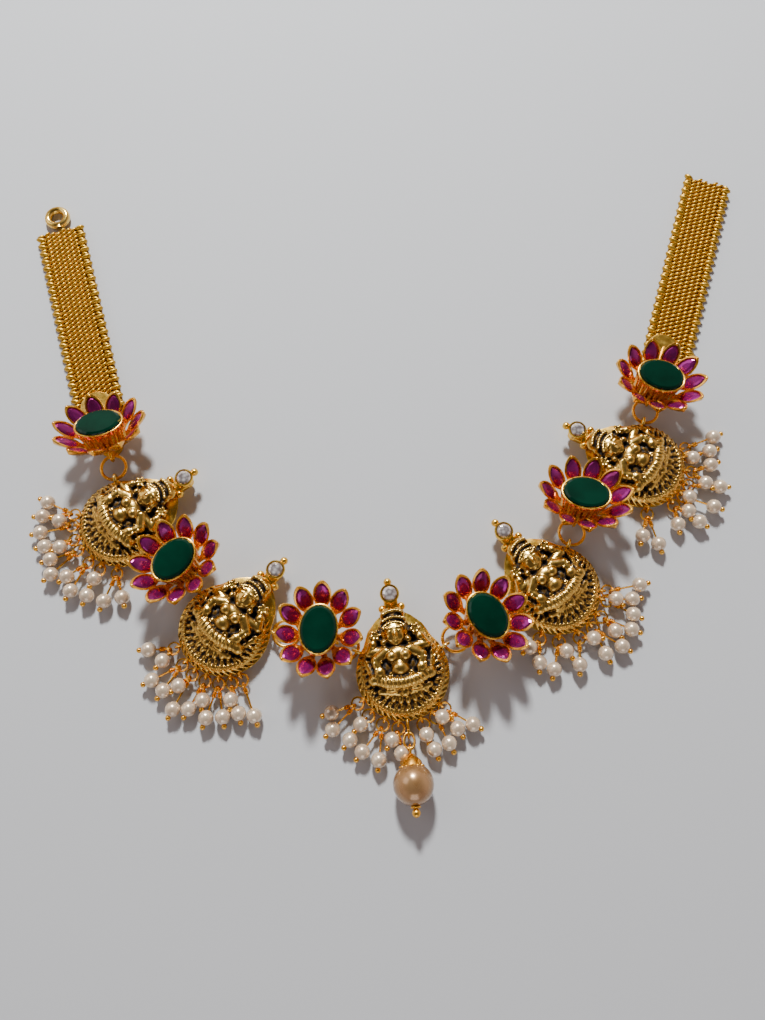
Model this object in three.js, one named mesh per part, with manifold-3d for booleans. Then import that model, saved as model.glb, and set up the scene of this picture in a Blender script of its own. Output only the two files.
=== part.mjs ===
// Temple jewellery necklace, laid open on a table: six lotus flowers set with rubies round a tall emerald, five
// cast pendants of the seated goddess with pearl fringes, wire links between them and a woven band at each end.
// Millimetres, +Z up. X runs across the necklace and Y from the big drop pearl towards the two free ends.
// Z = 0 is the table that everything lies on.
import * as THREE from "three";
import { mergeVertices } from "three/addons/utils/BufferGeometryUtils.js";
import Module from "manifold-3d";

const wasm = await Module();
wasm.setup();

// Clearance between pieces that touch on the real necklace
const gap = 0.3;
const stoneGap = 0.15; // round a stone in its setting

// Faces narrower than this are merged into their neighbours where pieces are joined
const sliver = 0.08;

// How far a cut runs past the face that it opens, and how deep one solid is let into the one it is joined to
const cutPast = 0.05;
const letIn = 0.1;

// Flower: an oval tower with the emerald on top, and petals that rise from its waist
const petalCount = 11;
const ringHalfLength = 10.1; // centre to petal tip, along the emerald
const ringHalfWidth = 9.2; // centre to petal tip, across the emerald
const petalWidth = 3.7;
const petalThickness = 1.1;
const petalRise = 43; // degrees above the flower's own plane
const petalTaper = 0.6; // width of a petal's underside, as a share of its rim
const rubyHeight = 0.6;
const rubyTable = 0.6; // size of the ruby's table, as a share of its rim
const waistHeight = 3.0; // table to the petals' roots
const towerHeight = 5.5; // petals' roots to the rim round the emerald
const towerRootShare = 0.8; // width of the tower at the petals' roots, as a share of its rim
const petalRootShare = 0.83; // distance of the petals' roots from the centre, as a share of the tower's rim
const towerSkirt = 1; // how far the tower's narrow underside reaches below the petals' roots
const towerShoulder = 0.3; // the same for its widest lower edge
const footRadius = 1.7;
const footSides = 8;

// Emerald: an oval step cut
const emeraldLength = 9.3;
const emeraldWidth = 6.9;
const emeraldCrown = 0.8;
const emeraldPavilion = 1.6;
const emeraldTableShare = 0.84;
const emeraldRimWall = 0.3;

// Pendant: a back plate with pointed shoulders, a domed relief and a spire that carries a diamond
const plateRadius = 9.2;
const plateThickness = 0.5;
const plateUnderside = 1.15;
const shoulderX = 5.9;
const shoulderY = 8.6;
const apexX = 2.2;
const apexY = 12.2;
const domeRadius = 7.6;
const domeHeight = 2.5;
const domeWall = 1.1;
const domeSides = 14;
const plateSides = 14;
const plateArcStart = 138; // degrees, below the left shoulder
const spireY = 15.4;
const bezelRadius = 1.95;
const bezelFoot = 1.1;
const bezelTop = 4.6;
const spireBall = 0.8;
const diamondRadius = 1.3;
const diamondCrown = 0.45;
const diamondTableShare = 0.62;
const diamondPavilion = 0.7;
const diamondSides = 8;

// Links and lugs of round wire
const wideLinkRadius = 2.6;
const closeLinkRadius = 1.5;
const linkWire = 0.33;
const lugRadius = 0.96;
const lugWire = 0.32;
const wireSides = 5;
const ringSegments = 10;
const lugSides = 8;
const lugHoleSides = 6;
const linkLift = 0.2; // links above the middle of the back plate
const linkHeight = plateUnderside + plateThickness / 2 + linkLift;

// Pearl fringe: wire stems on the plate's rim, with a pair of pearls on each
const pearlRadius = 1.52;
const pearlSides = 10;
const pearlBite = 0.08; // how far the flats of neighbouring pearls run into each other
const fringeRadius = 16.6; // pendant's centre to the outer pearls
const stemFan = 1.25; // directions of the stems on the rim, as a multiple of those of their pearls
const holeRadius = 0.6;
const holeInset = 0.8;
const stemWire = 0.26;
const loopWire = 0.24;
const loopHalfHeight = 1.05;

// Main drop under the middle pendant
const dropPearlRadius = 3.85;
const dropPendant = "pendant_3";
const dropDirection = 275;
const dropPinWire = 0.3;
const dropPinSlope = 12; // degrees, eye end down
const dropCapRadius = 2.2;
const dropCapHeight = 1.3;
const dropCapTop = 0.6;
const dropBall = 0.85;
const dropUpperHalfLength = 1.9;
const dropLowerHalfLength = 1.5;
const dropLowerSlope = 14;

// Woven bands
const bandWidth = 11.4;
const bandThickness = 1.5;
const bandEdgeWidth = 2.4;
const bandEdgeThickness = 2.0;
const discRadius = 3.5;
const discThickness = 0.5;
const discSides = 16;
const tongueWidth = 2.6;
const eyeRadius = 2.1;
const eyeWire = 0.8;
const eyeShank = 0.9;

const goldColour = 0xd9a321;
const antiqueColour = 0x9c7428;
const materials = {
  gold: new THREE.MeshStandardMaterial({ color: goldColour, roughness: 0.22, metalness: 1 }),
  antique: new THREE.MeshStandardMaterial({ color: antiqueColour, roughness: 0.38, metalness: 1 }),
  woven: new THREE.MeshStandardMaterial({ color: 0xcf9420, roughness: 0.35, metalness: 1 }),
  emerald: new THREE.MeshStandardMaterial({ color: 0x04452c, roughness: 0.12, metalness: 0 }),
  diamond: new THREE.MeshStandardMaterial({ color: 0xe9ecee, roughness: 0.05, metalness: 0 }),
  pearl: new THREE.MeshStandardMaterial({ color: 0xefe9df, roughness: 0.3, metalness: 0 }),
};

// Where each flower lies. turn is the direction of the first petal and of the emerald's length, lean how far the
// flower tips over and towards the direction that it tips to, all in degrees.
const flowers = {
  flower_1: { x: -58.2, y: 14.2, turn: 16, lean: 22, towards: 95 },
  flower_2: { x: -40.5, y: -12.7, turn: 50, lean: 6, towards: 120 },
  flower_3: { x: -12.2, y: -26.3, turn: 87, lean: 6, towards: 90 },
  flower_4: { x: 19.7, y: -23.6, turn: 125, lean: 7, towards: 50 },
  flower_5: { x: 40.9, y: 0.0, turn: 168, lean: 14, towards: 95 },
  flower_6: { x: 58.2, y: 26.2, turn: 160, lean: 6, towards: 90 },
};

// Where each pendant lies. turn is the direction of its spire.
const pendants = {
  pendant_1: { x: -53.6, y: -3.2, turn: 35.4 },
  pendant_2: { x: -31.5, y: -25.1, turn: 49 },
  pendant_3: { x: 4.0, y: -33.5, turn: 99.8 },
  pendant_4: { x: 34.9, y: -17.0, turn: 132 },
  pendant_5: { x: 54.7, y: 9.3, turn: 153 },
};

// Links, from a pendant to the flower beside it. side is the way round the pendant that the lug moves where the
// two lie too close for a straight line.
const links = [
  { pendant: "pendant_1", flower: "flower_1", side: -1, radius: wideLinkRadius },
  { pendant: "pendant_1", flower: "flower_2", side: 1, radius: closeLinkRadius },
  { pendant: "pendant_2", flower: "flower_2", side: -1, radius: closeLinkRadius },
  { pendant: "pendant_2", flower: "flower_3", side: 1, radius: wideLinkRadius },
  { pendant: "pendant_3", flower: "flower_3", side: -1, radius: wideLinkRadius },
  { pendant: "pendant_3", flower: "flower_4", side: 1, radius: wideLinkRadius },
  { pendant: "pendant_4", flower: "flower_4", side: -1, radius: closeLinkRadius },
  { pendant: "pendant_4", flower: "flower_5", side: 1, radius: wideLinkRadius },
  { pendant: "pendant_5", flower: "flower_5", side: -1, radius: closeLinkRadius },
  { pendant: "pendant_5", flower: "flower_6", side: 1, radius: wideLinkRadius },
];

// Pearl fringes: how many pearls lie in the outer and in the inner row, and the direction of the row's middle
const fringes = [
  { tag: "1", pendant: "pendant_1", outerCount: 12, innerCount: 2, middle: 219 },
  { tag: "2", pendant: "pendant_2", outerCount: 10, innerCount: 4, middle: 243 },
  { tag: "3_left", pendant: "pendant_3", outerCount: 6, innerCount: 2, middle: 236 },
  { tag: "3_right", pendant: "pendant_3", outerCount: 4, innerCount: 2, middle: 309 },
  { tag: "4", pendant: "pendant_4", outerCount: 12, innerCount: 2, middle: 304 },
  { tag: "5", pendant: "pendant_5", outerCount: 12, innerCount: 2, middle: 325 },
];

// Bands, each from under an end flower to its free end. disc is how far along it the flower's disc lies, and aside
// how far to the right of its middle.
const bands = {
  band_left: { flower: "flower_1", fromX: -60.8, fromY: 20.8, toX: -75.0, toY: 67.3, disc: 1.6, aside: 0 },
  band_right: { flower: "flower_6", fromX: 61.2, fromY: 29.6, toX: 77.1, toY: 80.5, disc: 6.2, aside: -1.6 },
};

// The goddess on the dome, as rounded forms: centre x, y, half sizes along x and y, height of the top above the
// dome's foot, half size along z, and turn in degrees. Lengths are shares of the dome's radius.
const figure = [
  { part: "lotus_seat", x: 0, y: -0.72, rx: 0.64, ry: 0.22, top: 0.44, rz: 0.26, turn: 0 },
  { part: "knee_roll", x: 0, y: -0.36, rx: 0.78, ry: 0.2, top: 0.58, rz: 0.3, turn: -6 },
  { part: "torso", x: 0, y: 0.2, rx: 0.36, ry: 0.5, top: 0.66, rz: 0.36, turn: 0 },
  { part: "arm_left", x: -0.56, y: 0.3, rx: 0.2, ry: 0.54, top: 0.5, rz: 0.3, turn: -12 },
  { part: "arm_right", x: 0.56, y: 0.3, rx: 0.2, ry: 0.54, top: 0.5, rz: 0.3, turn: 12 },
  { part: "head", x: 0, y: 0.92, rx: 0.3, ry: 0.34, top: 0.62, rz: 0.36, turn: 0 },
  { part: "crown", x: 0, y: 1.34, rx: 0.26, ry: 0.3, top: 0.44, rz: 0.36, turn: 0 },
];

const radians = THREE.MathUtils.degToRad;
const onCircle = (radius, degrees) => new THREE.Vector2(Math.cos(radians(degrees)), Math.sin(radians(degrees)))
  .multiplyScalar(radius);

// A closed three.js geometry as a solid that can be joined and cut
function solid(geometry) {
  const bare = (geometry.index ? geometry.toNonIndexed() : geometry.clone());
  bare.deleteAttribute("normal");
  bare.deleteAttribute("uv");
  const merged = mergeVertices(bare, 1e-4);
  return new wasm.Manifold(new wasm.Mesh({
    numProp: 3,
    vertProperties: merged.attributes.position.array,
    triVerts: new Uint32Array(merged.index.array),
  }));
}

function join(solids) {
  return solids.reduce((whole, piece) => whole.add(piece)).simplify(sliver);
}

// A solid as a named mesh
function mesh(name, made, material) {
  const data = made.getMesh();
  const geometry = new THREE.BufferGeometry();
  geometry.setAttribute("position", new THREE.BufferAttribute(data.vertProperties.slice(), 3));
  geometry.setIndex(new THREE.BufferAttribute(data.triVerts.slice(), 1));
  geometry.computeVertexNormals();
  const piece = new THREE.Mesh(geometry, material);
  piece.name = name;
  return piece;
}

// A ring of round wire in the XY plane, round or oval
function ring(halfLength, halfWidth, wire, segments = ringSegments, sides = wireSides) {
  const positions = [];
  const at = (segment, side) => {
    const round = (2 * Math.PI * segment) / segments;
    const wind = (2 * Math.PI * side) / sides;
    const outward = new THREE.Vector2(halfWidth * Math.cos(round), halfLength * Math.sin(round)).normalize();
    return [
      halfLength * Math.cos(round) + wire * Math.cos(wind) * outward.x,
      halfWidth * Math.sin(round) + wire * Math.cos(wind) * outward.y,
      wire * Math.sin(wind),
    ];
  };
  for (let segment = 0; segment < segments; segment += 1) {
    for (let side = 0; side < sides; side += 1) {
      const next = (segment + 1) % segments;
      const over = (side + 1) % sides;
      positions.push(...at(segment, side), ...at(next, side), ...at(next, over));
      positions.push(...at(segment, side), ...at(next, over), ...at(segment, over));
    }
  }
  return new THREE.BufferGeometry().setAttribute("position", new THREE.Float32BufferAttribute(positions, 3));
}

// A solid lofted through ovals, from rows of half length, half width and height
function ovalLoft(rows, sides) {
  return frustum(rows.map(([halfLength, halfWidth, z]) => Array.from({ length: sides }, (_, side) => {
    const angle = (2 * Math.PI * (side + 0.5)) / sides;
    return [halfLength * Math.cos(angle), halfWidth * Math.sin(angle), z];
  })));
}

// An upright block of an outline in plan, between two heights
function slab(outline, low, high) {
  const shape = new THREE.Shape(outline);
  return new THREE.ExtrudeGeometry(shape, { depth: high - low, bevelEnabled: false }).translate(0, 0, low);
}

// A straight bar between two points in plan
function bar(from, to, width, low, high) {
  const along = to.clone().sub(from).normalize();
  const across = new THREE.Vector2(-along.y, along.x).multiplyScalar(width / 2);
  const corners = [
    from.clone().sub(across),
    to.clone().sub(across),
    to.clone().add(across),
    from.clone().add(across),
  ];
  return slab(corners, low, high);
}

// An upright lug with its hole at the origin and an arm reaching back along -X
function lug(arm) {
  const outer = lugRadius + lugWire;
  const corners = Array.from({ length: lugSides }, (_, i) => onCircle(outer, (360 * (i - 3.5)) / lugSides));
  const armEnds = [new THREE.Vector2(-arm, corners[0].y), new THREE.Vector2(-arm, corners.at(-1).y)];
  const outline = arm > 0 ? [armEnds[0], ...corners, armEnds[1]] : corners;
  const shape = new THREE.Shape(outline);
  const hole = Array.from({ length: lugHoleSides }, (_, i) => onCircle(lugRadius - lugWire, (-360 * i) / lugHoleSides));
  shape.holes.push(new THREE.Path(hole));
  return new THREE.ExtrudeGeometry(shape, { depth: 2 * lugWire, bevelEnabled: false })
    .translate(0, 0, -lugWire)
    .rotateX(Math.PI / 2);
}

// A pointed petal outline along +X, from shares of its length and of its width
function leaf(length, width, profile) {
  const side = profile.map(([along, across]) => new THREE.Vector2(length * along, -width * across));
  const other = side.slice(1, -1).reverse().map((point) => new THREE.Vector2(point.x, -point.y));
  return [...side, ...other];
}

// One petal along +X from its root: a tapered cup with the ruby's crown rising from its rim
function petal(length) {
  const rim = leaf(length, petalWidth, [[0, 0], [0.4, 0.3], [0.66, 0.5], [0.88, 0.34], [1, 0]]);
  const centre = length * 0.56;
  const scaled = (along, across, z) =>
    rim.map((point) => [centre + (point.x - centre) * along, point.y * across, z]);
  return solid(frustum([
    scaled(0.86, petalTaper, 0),
    scaled(1, 1, petalThickness),
    scaled(rubyTable, rubyTable, petalThickness + rubyHeight),
  ]));
}

// A closed solid through outlines with as many points each
function frustum(rings) {
  const positions = [];
  const count = rings[0].length;
  const [bottom, top] = [rings[0], rings[rings.length - 1]];
  for (let i = 0; i < count; i += 1) {
    const next = (i + 1) % count;
    for (let level = 0; level + 1 < rings.length; level += 1) {
      const [low, high] = [rings[level], rings[level + 1]];
      positions.push(...low[i], ...low[next], ...high[next], ...low[i], ...high[next], ...high[i]);
    }
    if (i > 0 && next > 0) {
      positions.push(...bottom[0], ...bottom[next], ...bottom[i], ...top[0], ...top[i], ...top[next]);
    }
  }
  return new THREE.BufferGeometry().setAttribute("position", new THREE.Float32BufferAttribute(positions, 3));
}

const rimHalfLength = emeraldLength / 2 + stoneGap + emeraldRimWall;
const rimHalfWidth = emeraldWidth / 2 + stoneGap + emeraldRimWall;

// The tower and petals, with the petals' roots at height 0
function flowerHead() {
  const tower = solid(ovalLoft([
    [footRadius * 1.3, footRadius * 1.1, -towerSkirt],
    [rimHalfLength * towerRootShare, rimHalfWidth * towerRootShare, -towerShoulder],
    [rimHalfLength, rimHalfWidth, towerHeight],
  ], petalCount));
  const pocket = solid(ovalLoft([
    [emeraldLength / 2 * 0.45, emeraldWidth / 2 * 0.45, towerHeight - emeraldPavilion - stoneGap],
    [emeraldLength / 2 + stoneGap, emeraldWidth / 2 + stoneGap, towerHeight + cutPast],
  ], petalCount));
  const petals = [];
  for (let i = 0; i < petalCount; i += 1) {
    const angle = (2 * Math.PI * i) / petalCount;
    const tip = new THREE.Vector2(ringHalfLength * Math.cos(angle), ringHalfWidth * Math.sin(angle));
    const direction = Math.atan2(tip.y, tip.x);
    const root = new THREE.Vector2(rimHalfLength * Math.cos(angle), rimHalfWidth * Math.sin(angle));
    const rootRadius = root.length() * petalRootShare;
    const length = (tip.length() - rootRadius) / Math.cos(radians(petalRise));
    const place = new THREE.Matrix4().makeRotationZ(direction)
      .multiply(new THREE.Matrix4().makeTranslation(rootRadius, 0, 0))
      .multiply(new THREE.Matrix4().makeRotationY(-radians(petalRise)));
    petals.push(petal(length).transform(place.toArray()));
  }
  return join([tower, ...petals]).subtract(pocket);
}

function leanMatrix(spot) {
  const axis = new THREE.Vector3(-Math.sin(radians(spot.towards)), Math.cos(radians(spot.towards)), 0);
  const turn = new THREE.Matrix4().makeRotationZ(radians(spot.turn));
  return new THREE.Matrix4().makeRotationAxis(axis, radians(spot.lean)).multiply(turn);
}

// Where a link's two lugs lie: on the pendant's rim and beside the flower's foot
function linkEnds(link) {
  const from = pendants[link.pendant];
  const to = flowers[link.flower];
  const away = new THREE.Vector2(to.x - from.x, to.y - from.y);
  const reach = plateRadius + lugWire + gap;
  const shortest = footRadius + lugWire + gap;
  const distance = away.length();
  const needed = shortest + 2 * link.radius;
  const cosine = (distance ** 2 + reach ** 2 - needed ** 2) / (2 * distance * reach);
  const swing = distance < reach + needed ? Math.acos(Math.min(1, cosine)) : 0;
  const bearing = Math.atan2(away.y, away.x) + link.side * swing;
  const atPendant = new THREE.Vector2(from.x + reach * Math.cos(bearing), from.y + reach * Math.sin(bearing));
  const towardsFlower = new THREE.Vector2(to.x, to.y).sub(atPendant).normalize();
  const atFlower = atPendant.clone().addScaledVector(towardsFlower, 2 * link.radius);
  const direction = Math.atan2(towardsFlower.y, towardsFlower.x);
  return { atPendant, atFlower, bearing: THREE.MathUtils.radToDeg(direction) };
}

// The middle line of a band, from under its flower to its free end
function bandLine(band) {
  const from = new THREE.Vector2(band.fromX, band.fromY);
  const to = new THREE.Vector2(band.toX, band.toY);
  const along = to.clone().sub(from).normalize();
  return { from, to, along, across: new THREE.Vector2(along.y, -along.x) };
}

// The tongue and disc that hold an end flower to its band, lying on the band
function tongueAndDisc(band) {
  const line = bandLine(band);
  const spot = flowers[band.flower];
  const low = bandEdgeThickness + gap;
  const at = line.from.clone()
    .addScaledVector(line.along, band.disc)
    .addScaledVector(line.across, band.aside)
    .sub(new THREE.Vector2(spot.x, spot.y));
  const disc = new THREE.CylinderGeometry(discRadius, discRadius, discThickness, discSides)
    .rotateX(Math.PI / 2)
    .translate(at.x, at.y, low + discThickness / 2);
  return solid(disc).add(solid(bar(new THREE.Vector2(0, 0), at, tongueWidth, low, low + discThickness)));
}

function buildFlower(name) {
  const spot = flowers[name];
  const head = flowerHead().transform(
    new THREE.Matrix4().makeTranslation(0, 0, waistHeight).multiply(leanMatrix(spot)).toArray(),
  );
  const foot = ovalLoft([[footRadius, footRadius, 0], [footRadius, footRadius, waistHeight]], footSides);
  const pieces = [head, solid(foot)];
  for (const link of links.filter((l) => l.flower === name)) {
    const ends = linkEnds(link);
    const at = ends.atFlower.clone().sub(new THREE.Vector2(spot.x, spot.y));
    const ear = lug(at.length()).rotateZ(Math.atan2(at.y, at.x)).translate(at.x, at.y, linkHeight);
    pieces.push(solid(ear));
  }
  for (const band of Object.values(bands).filter((b) => b.flower === name)) {
    pieces.push(tongueAndDisc(band));
  }
  const group = new THREE.Group();
  group.position.set(spot.x, spot.y, 0);
  group.add(mesh(name, join(pieces), materials.gold));
  group.add(buildEmerald(name, spot));
  return group;
}

function buildEmerald(name, spot) {
  const stone = solid(ovalLoft([
    [emeraldLength / 2 * 0.3, emeraldWidth / 2 * 0.3, -emeraldPavilion],
    [emeraldLength / 2, emeraldWidth / 2, 0],
    [emeraldLength / 2 * emeraldTableShare, emeraldWidth / 2 * emeraldTableShare, emeraldCrown],
  ], petalCount));
  const piece = mesh(name.replace("flower", "emerald"), stone, materials.emerald);
  const place = new THREE.Matrix4().makeTranslation(0, 0, waistHeight).multiply(leanMatrix(spot))
    .multiply(new THREE.Matrix4().makeTranslation(0, 0, towerHeight));
  piece.applyMatrix4(place);
  return piece;
}

// The back plate's outline: an arc round the bottom, shoulders and a pointed top
function plateOutline() {
  const outline = [new THREE.Vector2(apexX, apexY), new THREE.Vector2(-apexX, apexY)];
  outline.push(new THREE.Vector2(-shoulderX, shoulderY));
  const sweep = 540 - 2 * plateArcStart;
  for (let i = 0; i <= plateSides; i += 1) {
    outline.push(onCircle(plateRadius, plateArcStart + (i * sweep) / plateSides));
  }
  outline.push(new THREE.Vector2(shoulderX, shoulderY));
  return outline;
}

function rounded(halfX, halfY, halfZ) {
  return new THREE.OctahedronGeometry(1, 1).scale(halfX, halfY, halfZ);
}

function grain(radius) {
  return new THREE.IcosahedronGeometry(radius, 0);
}

function relief() {
  const foot = plateUnderside + plateThickness;
  const dome = ovalLoft([
    [domeRadius, domeRadius, foot - letIn],
    [domeRadius, domeRadius, foot + domeWall],
    [domeRadius * 0.55, domeRadius * 0.55, foot + domeHeight],
  ], domeSides);
  const forms = figure.map((form) => solid(
    rounded(form.rx * domeRadius, form.ry * domeRadius, form.rz * domeRadius)
      .rotateZ(radians(form.turn))
      .translate(form.x * domeRadius, form.y * domeRadius, foot + (form.top - form.rz) * domeRadius),
  ));
  return join([solid(dome), ...forms]).trimByPlane([0, 0, 1], foot - plateThickness / 2);
}

function spire() {
  const foot = plateUnderside;
  const cup = ovalLoft([
    [bezelFoot, bezelFoot, foot],
    [bezelRadius, bezelRadius, bezelTop],
  ], ringSegments).translate(0, spireY, 0);
  const pocket = ovalLoft([
    [diamondRadius * 0.4 + gap / 2, diamondRadius * 0.4 + gap / 2, bezelTop - diamondPavilion - gap],
    [diamondRadius + gap, diamondRadius + gap, bezelTop + cutPast],
  ], diamondSides).translate(0, spireY, 0);
  const ballAt = (x, y, z) => solid(grain(spireBall).translate(x, y, z));
  const side = bezelRadius * 0.9;
  const low = spireY - bezelRadius * 1.35;
  const balls = [
    ballAt(-side, low, foot + spireBall * 2),
    ballAt(side, low, foot + spireBall * 2),
    ballAt(0, spireY + bezelRadius + spireBall * 0.6, bezelTop - spireBall),
  ];
  const neckFoot = new THREE.Vector2(0, apexY - bezelFoot);
  const neck = bar(neckFoot, new THREE.Vector2(0, spireY), 2 * side, foot, foot + spireBall * 2);
  return join([solid(cup), solid(neck), ...balls]).subtract(solid(pocket));
}

const holeRing = plateRadius - holeInset;

function hole(at) {
  return solid(ovalLoft([
    [holeRadius, holeRadius, plateUnderside - plateThickness],
    [holeRadius, holeRadius, plateUnderside + 2 * plateThickness],
  ], 6).translate(at.x, at.y, 0));
}

function buildPendant(name) {
  const spot = pendants[name];
  const plate = solid(slab(plateOutline(), plateUnderside, plateUnderside + plateThickness));
  const upright = join([plate, relief(), spire()]);
  const turned = upright.transform(new THREE.Matrix4().makeRotationZ(radians(spot.turn - 90)).toArray());
  const lugs = links.filter((link) => link.pendant === name).map((link) => {
    const ends = linkEnds(link);
    const at = ends.atPendant.clone().sub(new THREE.Vector2(spot.x, spot.y));
    return solid(lug(0).rotateZ(radians(ends.bearing)).translate(at.x, at.y, linkHeight));
  });
  const whole = join([turned, ...lugs]);
  const made = name === dropPendant ? whole.subtract(hole(onCircle(holeRing, dropDirection))) : whole;
  const group = new THREE.Group();
  group.position.set(spot.x, spot.y, 0);
  group.add(mesh(name, made, materials.antique));
  group.add(buildDiamond(name, spot));
  return group;
}

function buildDiamond(name, spot) {
  const stone = solid(ovalLoft([
    [diamondRadius * 0.25, diamondRadius * 0.25, -diamondPavilion],
    [diamondRadius, diamondRadius, 0],
    [diamondRadius * diamondTableShare, diamondRadius * diamondTableShare, diamondCrown],
  ], diamondSides));
  const piece = mesh(name.replace("pendant", "diamond"), stone, materials.diamond);
  const at = onCircle(spireY, spot.turn);
  piece.position.set(at.x, at.y, bezelTop);
  return piece;
}

function buildLink(link) {
  const ends = linkEnds(link);
  const centre = ends.atPendant.clone().add(ends.atFlower).multiplyScalar(0.5);
  const digits = (name) => name.slice(-1);
  const name = `link_${digits(link.pendant)}_to_${link.flower}`;
  const piece = mesh(name, solid(ring(link.radius, link.radius, linkWire)), materials.gold);
  piece.rotation.z = radians(ends.bearing);
  piece.position.set(centre.x, centre.y, linkHeight);
  return piece;
}

// Where the pearls of a fringe lie, as directions and distances from the pendant's centre: an outer row whose
// pearls touch, and an inner row that lies in its hollows
function pearlSpots(fringe) {
  const apart = 2 * pearlRadius * Math.cos(Math.PI / pearlSides) - pearlBite;
  const step = 2 * THREE.MathUtils.radToDeg(Math.asin(apart / 2 / fringeRadius));
  const first = fringe.middle - (step * (fringe.outerCount - 1)) / 2;
  const hollow = fringeRadius * Math.cos(radians(step) / 2) - Math.sqrt(apart ** 2 - (apart / 2) ** 2);
  const outer = Array.from({ length: fringe.outerCount }, (_, i) => (
    { direction: first + i * step, radius: fringeRadius }
  ));
  const inner = Array.from({ length: fringe.innerCount }, (_, i) => ({
    direction: fringe.middle + step * (2 * i - (fringe.innerCount - 1)),
    radius: hollow,
  }));
  return { outer, inner };
}

// A round wire between two points
function wireBetween(from, to, wire) {
  const reach = to.clone().sub(from);
  const upwards = new THREE.Vector3(0, 0, 1);
  const turn = new THREE.Quaternion().setFromUnitVectors(upwards, reach.clone().normalize());
  return ovalLoft([[wire, wire, 0], [wire, wire, reach.length()]], wireSides)
    .applyQuaternion(turn)
    .translate(from.x, from.y, from.z);
}

// The pearls of a fringe, with the wire stems that their rows hang by lying on the plate's rim
function buildFringe(fringe) {
  const spot = pendants[fringe.pendant];
  const { outer, inner } = pearlSpots(fringe);
  const middleOf = (pearl) => {
    const at = onCircle(pearl.radius, pearl.direction);
    return new THREE.Vector3(at.x, at.y, pearlRadius);
  };
  const fullWidth = 1 / Math.cos(Math.PI / 6); // brings the two middle rows out to the pearl's radius
  const pearls = [...outer, ...inner].map((pearl) => {
    const at = middleOf(pearl);
    return solid(new THREE.SphereGeometry(pearlRadius, pearlSides, 3)
      .rotateX(Math.PI / 2)
      .scale(fullWidth, fullWidth, 1)
      .rotateZ(radians(pearl.direction))
      .translate(at.x, at.y, at.z));
  });
  const rimHeight = plateUnderside + plateThickness + gap + stemWire;
  const stems = [outer[0], ...inner, outer[outer.length - 1]].map((pearl) => {
    const rim = onCircle(holeRing, fringe.middle + stemFan * (pearl.direction - fringe.middle));
    return solid(wireBetween(new THREE.Vector3(rim.x, rim.y, rimHeight), middleOf(pearl), stemWire));
  });
  const piece = mesh(`pearl_fringe_${fringe.tag}`, join([...pearls, ...stems]), materials.pearl);
  piece.position.set(spot.x, spot.y, 0);
  return piece;
}

// The big pearl's drop: two links, a pin with its eye, cap and ball, and the drilled pearl
function buildDrop() {
  const spot = pendants[dropPendant];
  const group = new THREE.Group();
  group.position.set(spot.x, spot.y, 0);
  group.rotation.z = radians(dropDirection);
  const height = plateUnderside + plateThickness / 2;
  const interlock = 2 * loopWire + gap;

  const upperEnd = holeRing + 2 * dropUpperHalfLength;
  const upper = ring(dropUpperHalfLength, loopHalfHeight, loopWire).rotateX(Math.PI / 2)
    .translate(holeRing + dropUpperHalfLength, 0, height);

  const lowerStart = upperEnd - interlock;
  const lower = ring(dropLowerHalfLength, loopHalfHeight, loopWire)
    .translate(dropLowerHalfLength, 0, 0)
    .rotateY(-radians(dropLowerSlope))
    .translate(lowerStart, 0, height);
  const lowerEnd = lowerStart + 2 * dropLowerHalfLength * Math.cos(radians(dropLowerSlope));

  const capFoot = dropPearlRadius + gap;
  const eyeCentre = -(capFoot + dropCapHeight + lugRadius - loopWire);
  const onPin = (geometry) => geometry.rotateY(Math.PI / 2);
  const ballCentre = dropPearlRadius + gap + dropBall;
  const wire = onPin(ovalLoft([
    [dropPinWire, dropPinWire, -capFoot - dropCapHeight / 2],
    [dropPinWire, dropPinWire, ballCentre],
  ], wireSides));
  const cap = onPin(ovalLoft([
    [dropCapTop, dropCapTop, -capFoot - dropCapHeight],
    [dropCapRadius, dropCapRadius, -dropPearlRadius * 0.78],
  ], ringSegments));
  const hollow = new THREE.SphereGeometry(dropPearlRadius + gap, 12, 6).rotateX(Math.PI / 2);
  const eye = ring(lugRadius, lugRadius, loopWire).rotateX(Math.PI / 2).translate(eyeCentre, 0, 0);
  const pin = join([
    solid(cap).subtract(solid(hollow)),
    solid(wire),
    solid(eye),
    solid(grain(dropBall).translate(ballCentre, 0, 0)),
  ]);
  const round = new THREE.SphereGeometry(dropPearlRadius, 12, 8).rotateX(Math.PI / 2);
  const pearl = solid(round).subtract(solid(onPin(ovalLoft([
    [dropPinWire + gap, dropPinWire + gap, -dropPearlRadius - gap],
    [dropPinWire + gap, dropPinWire + gap, dropPearlRadius + gap],
  ], wireSides))));

  const slope = radians(dropPinSlope);
  const pearlX = lowerEnd - interlock + lugRadius - eyeCentre * Math.cos(slope);
  const stem = mesh("drop_pin", pin, materials.gold);
  const big = mesh("drop_pearl", pearl, materials.pearl);
  for (const piece of [stem, big]) {
    piece.rotation.y = -slope;
    piece.position.set(pearlX, 0, dropPearlRadius);
  }
  group.add(mesh("drop_link_upper", solid(upper), materials.gold));
  group.add(mesh("drop_link_lower", solid(lower), materials.gold));
  group.add(stem, big);
  return group;
}

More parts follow.
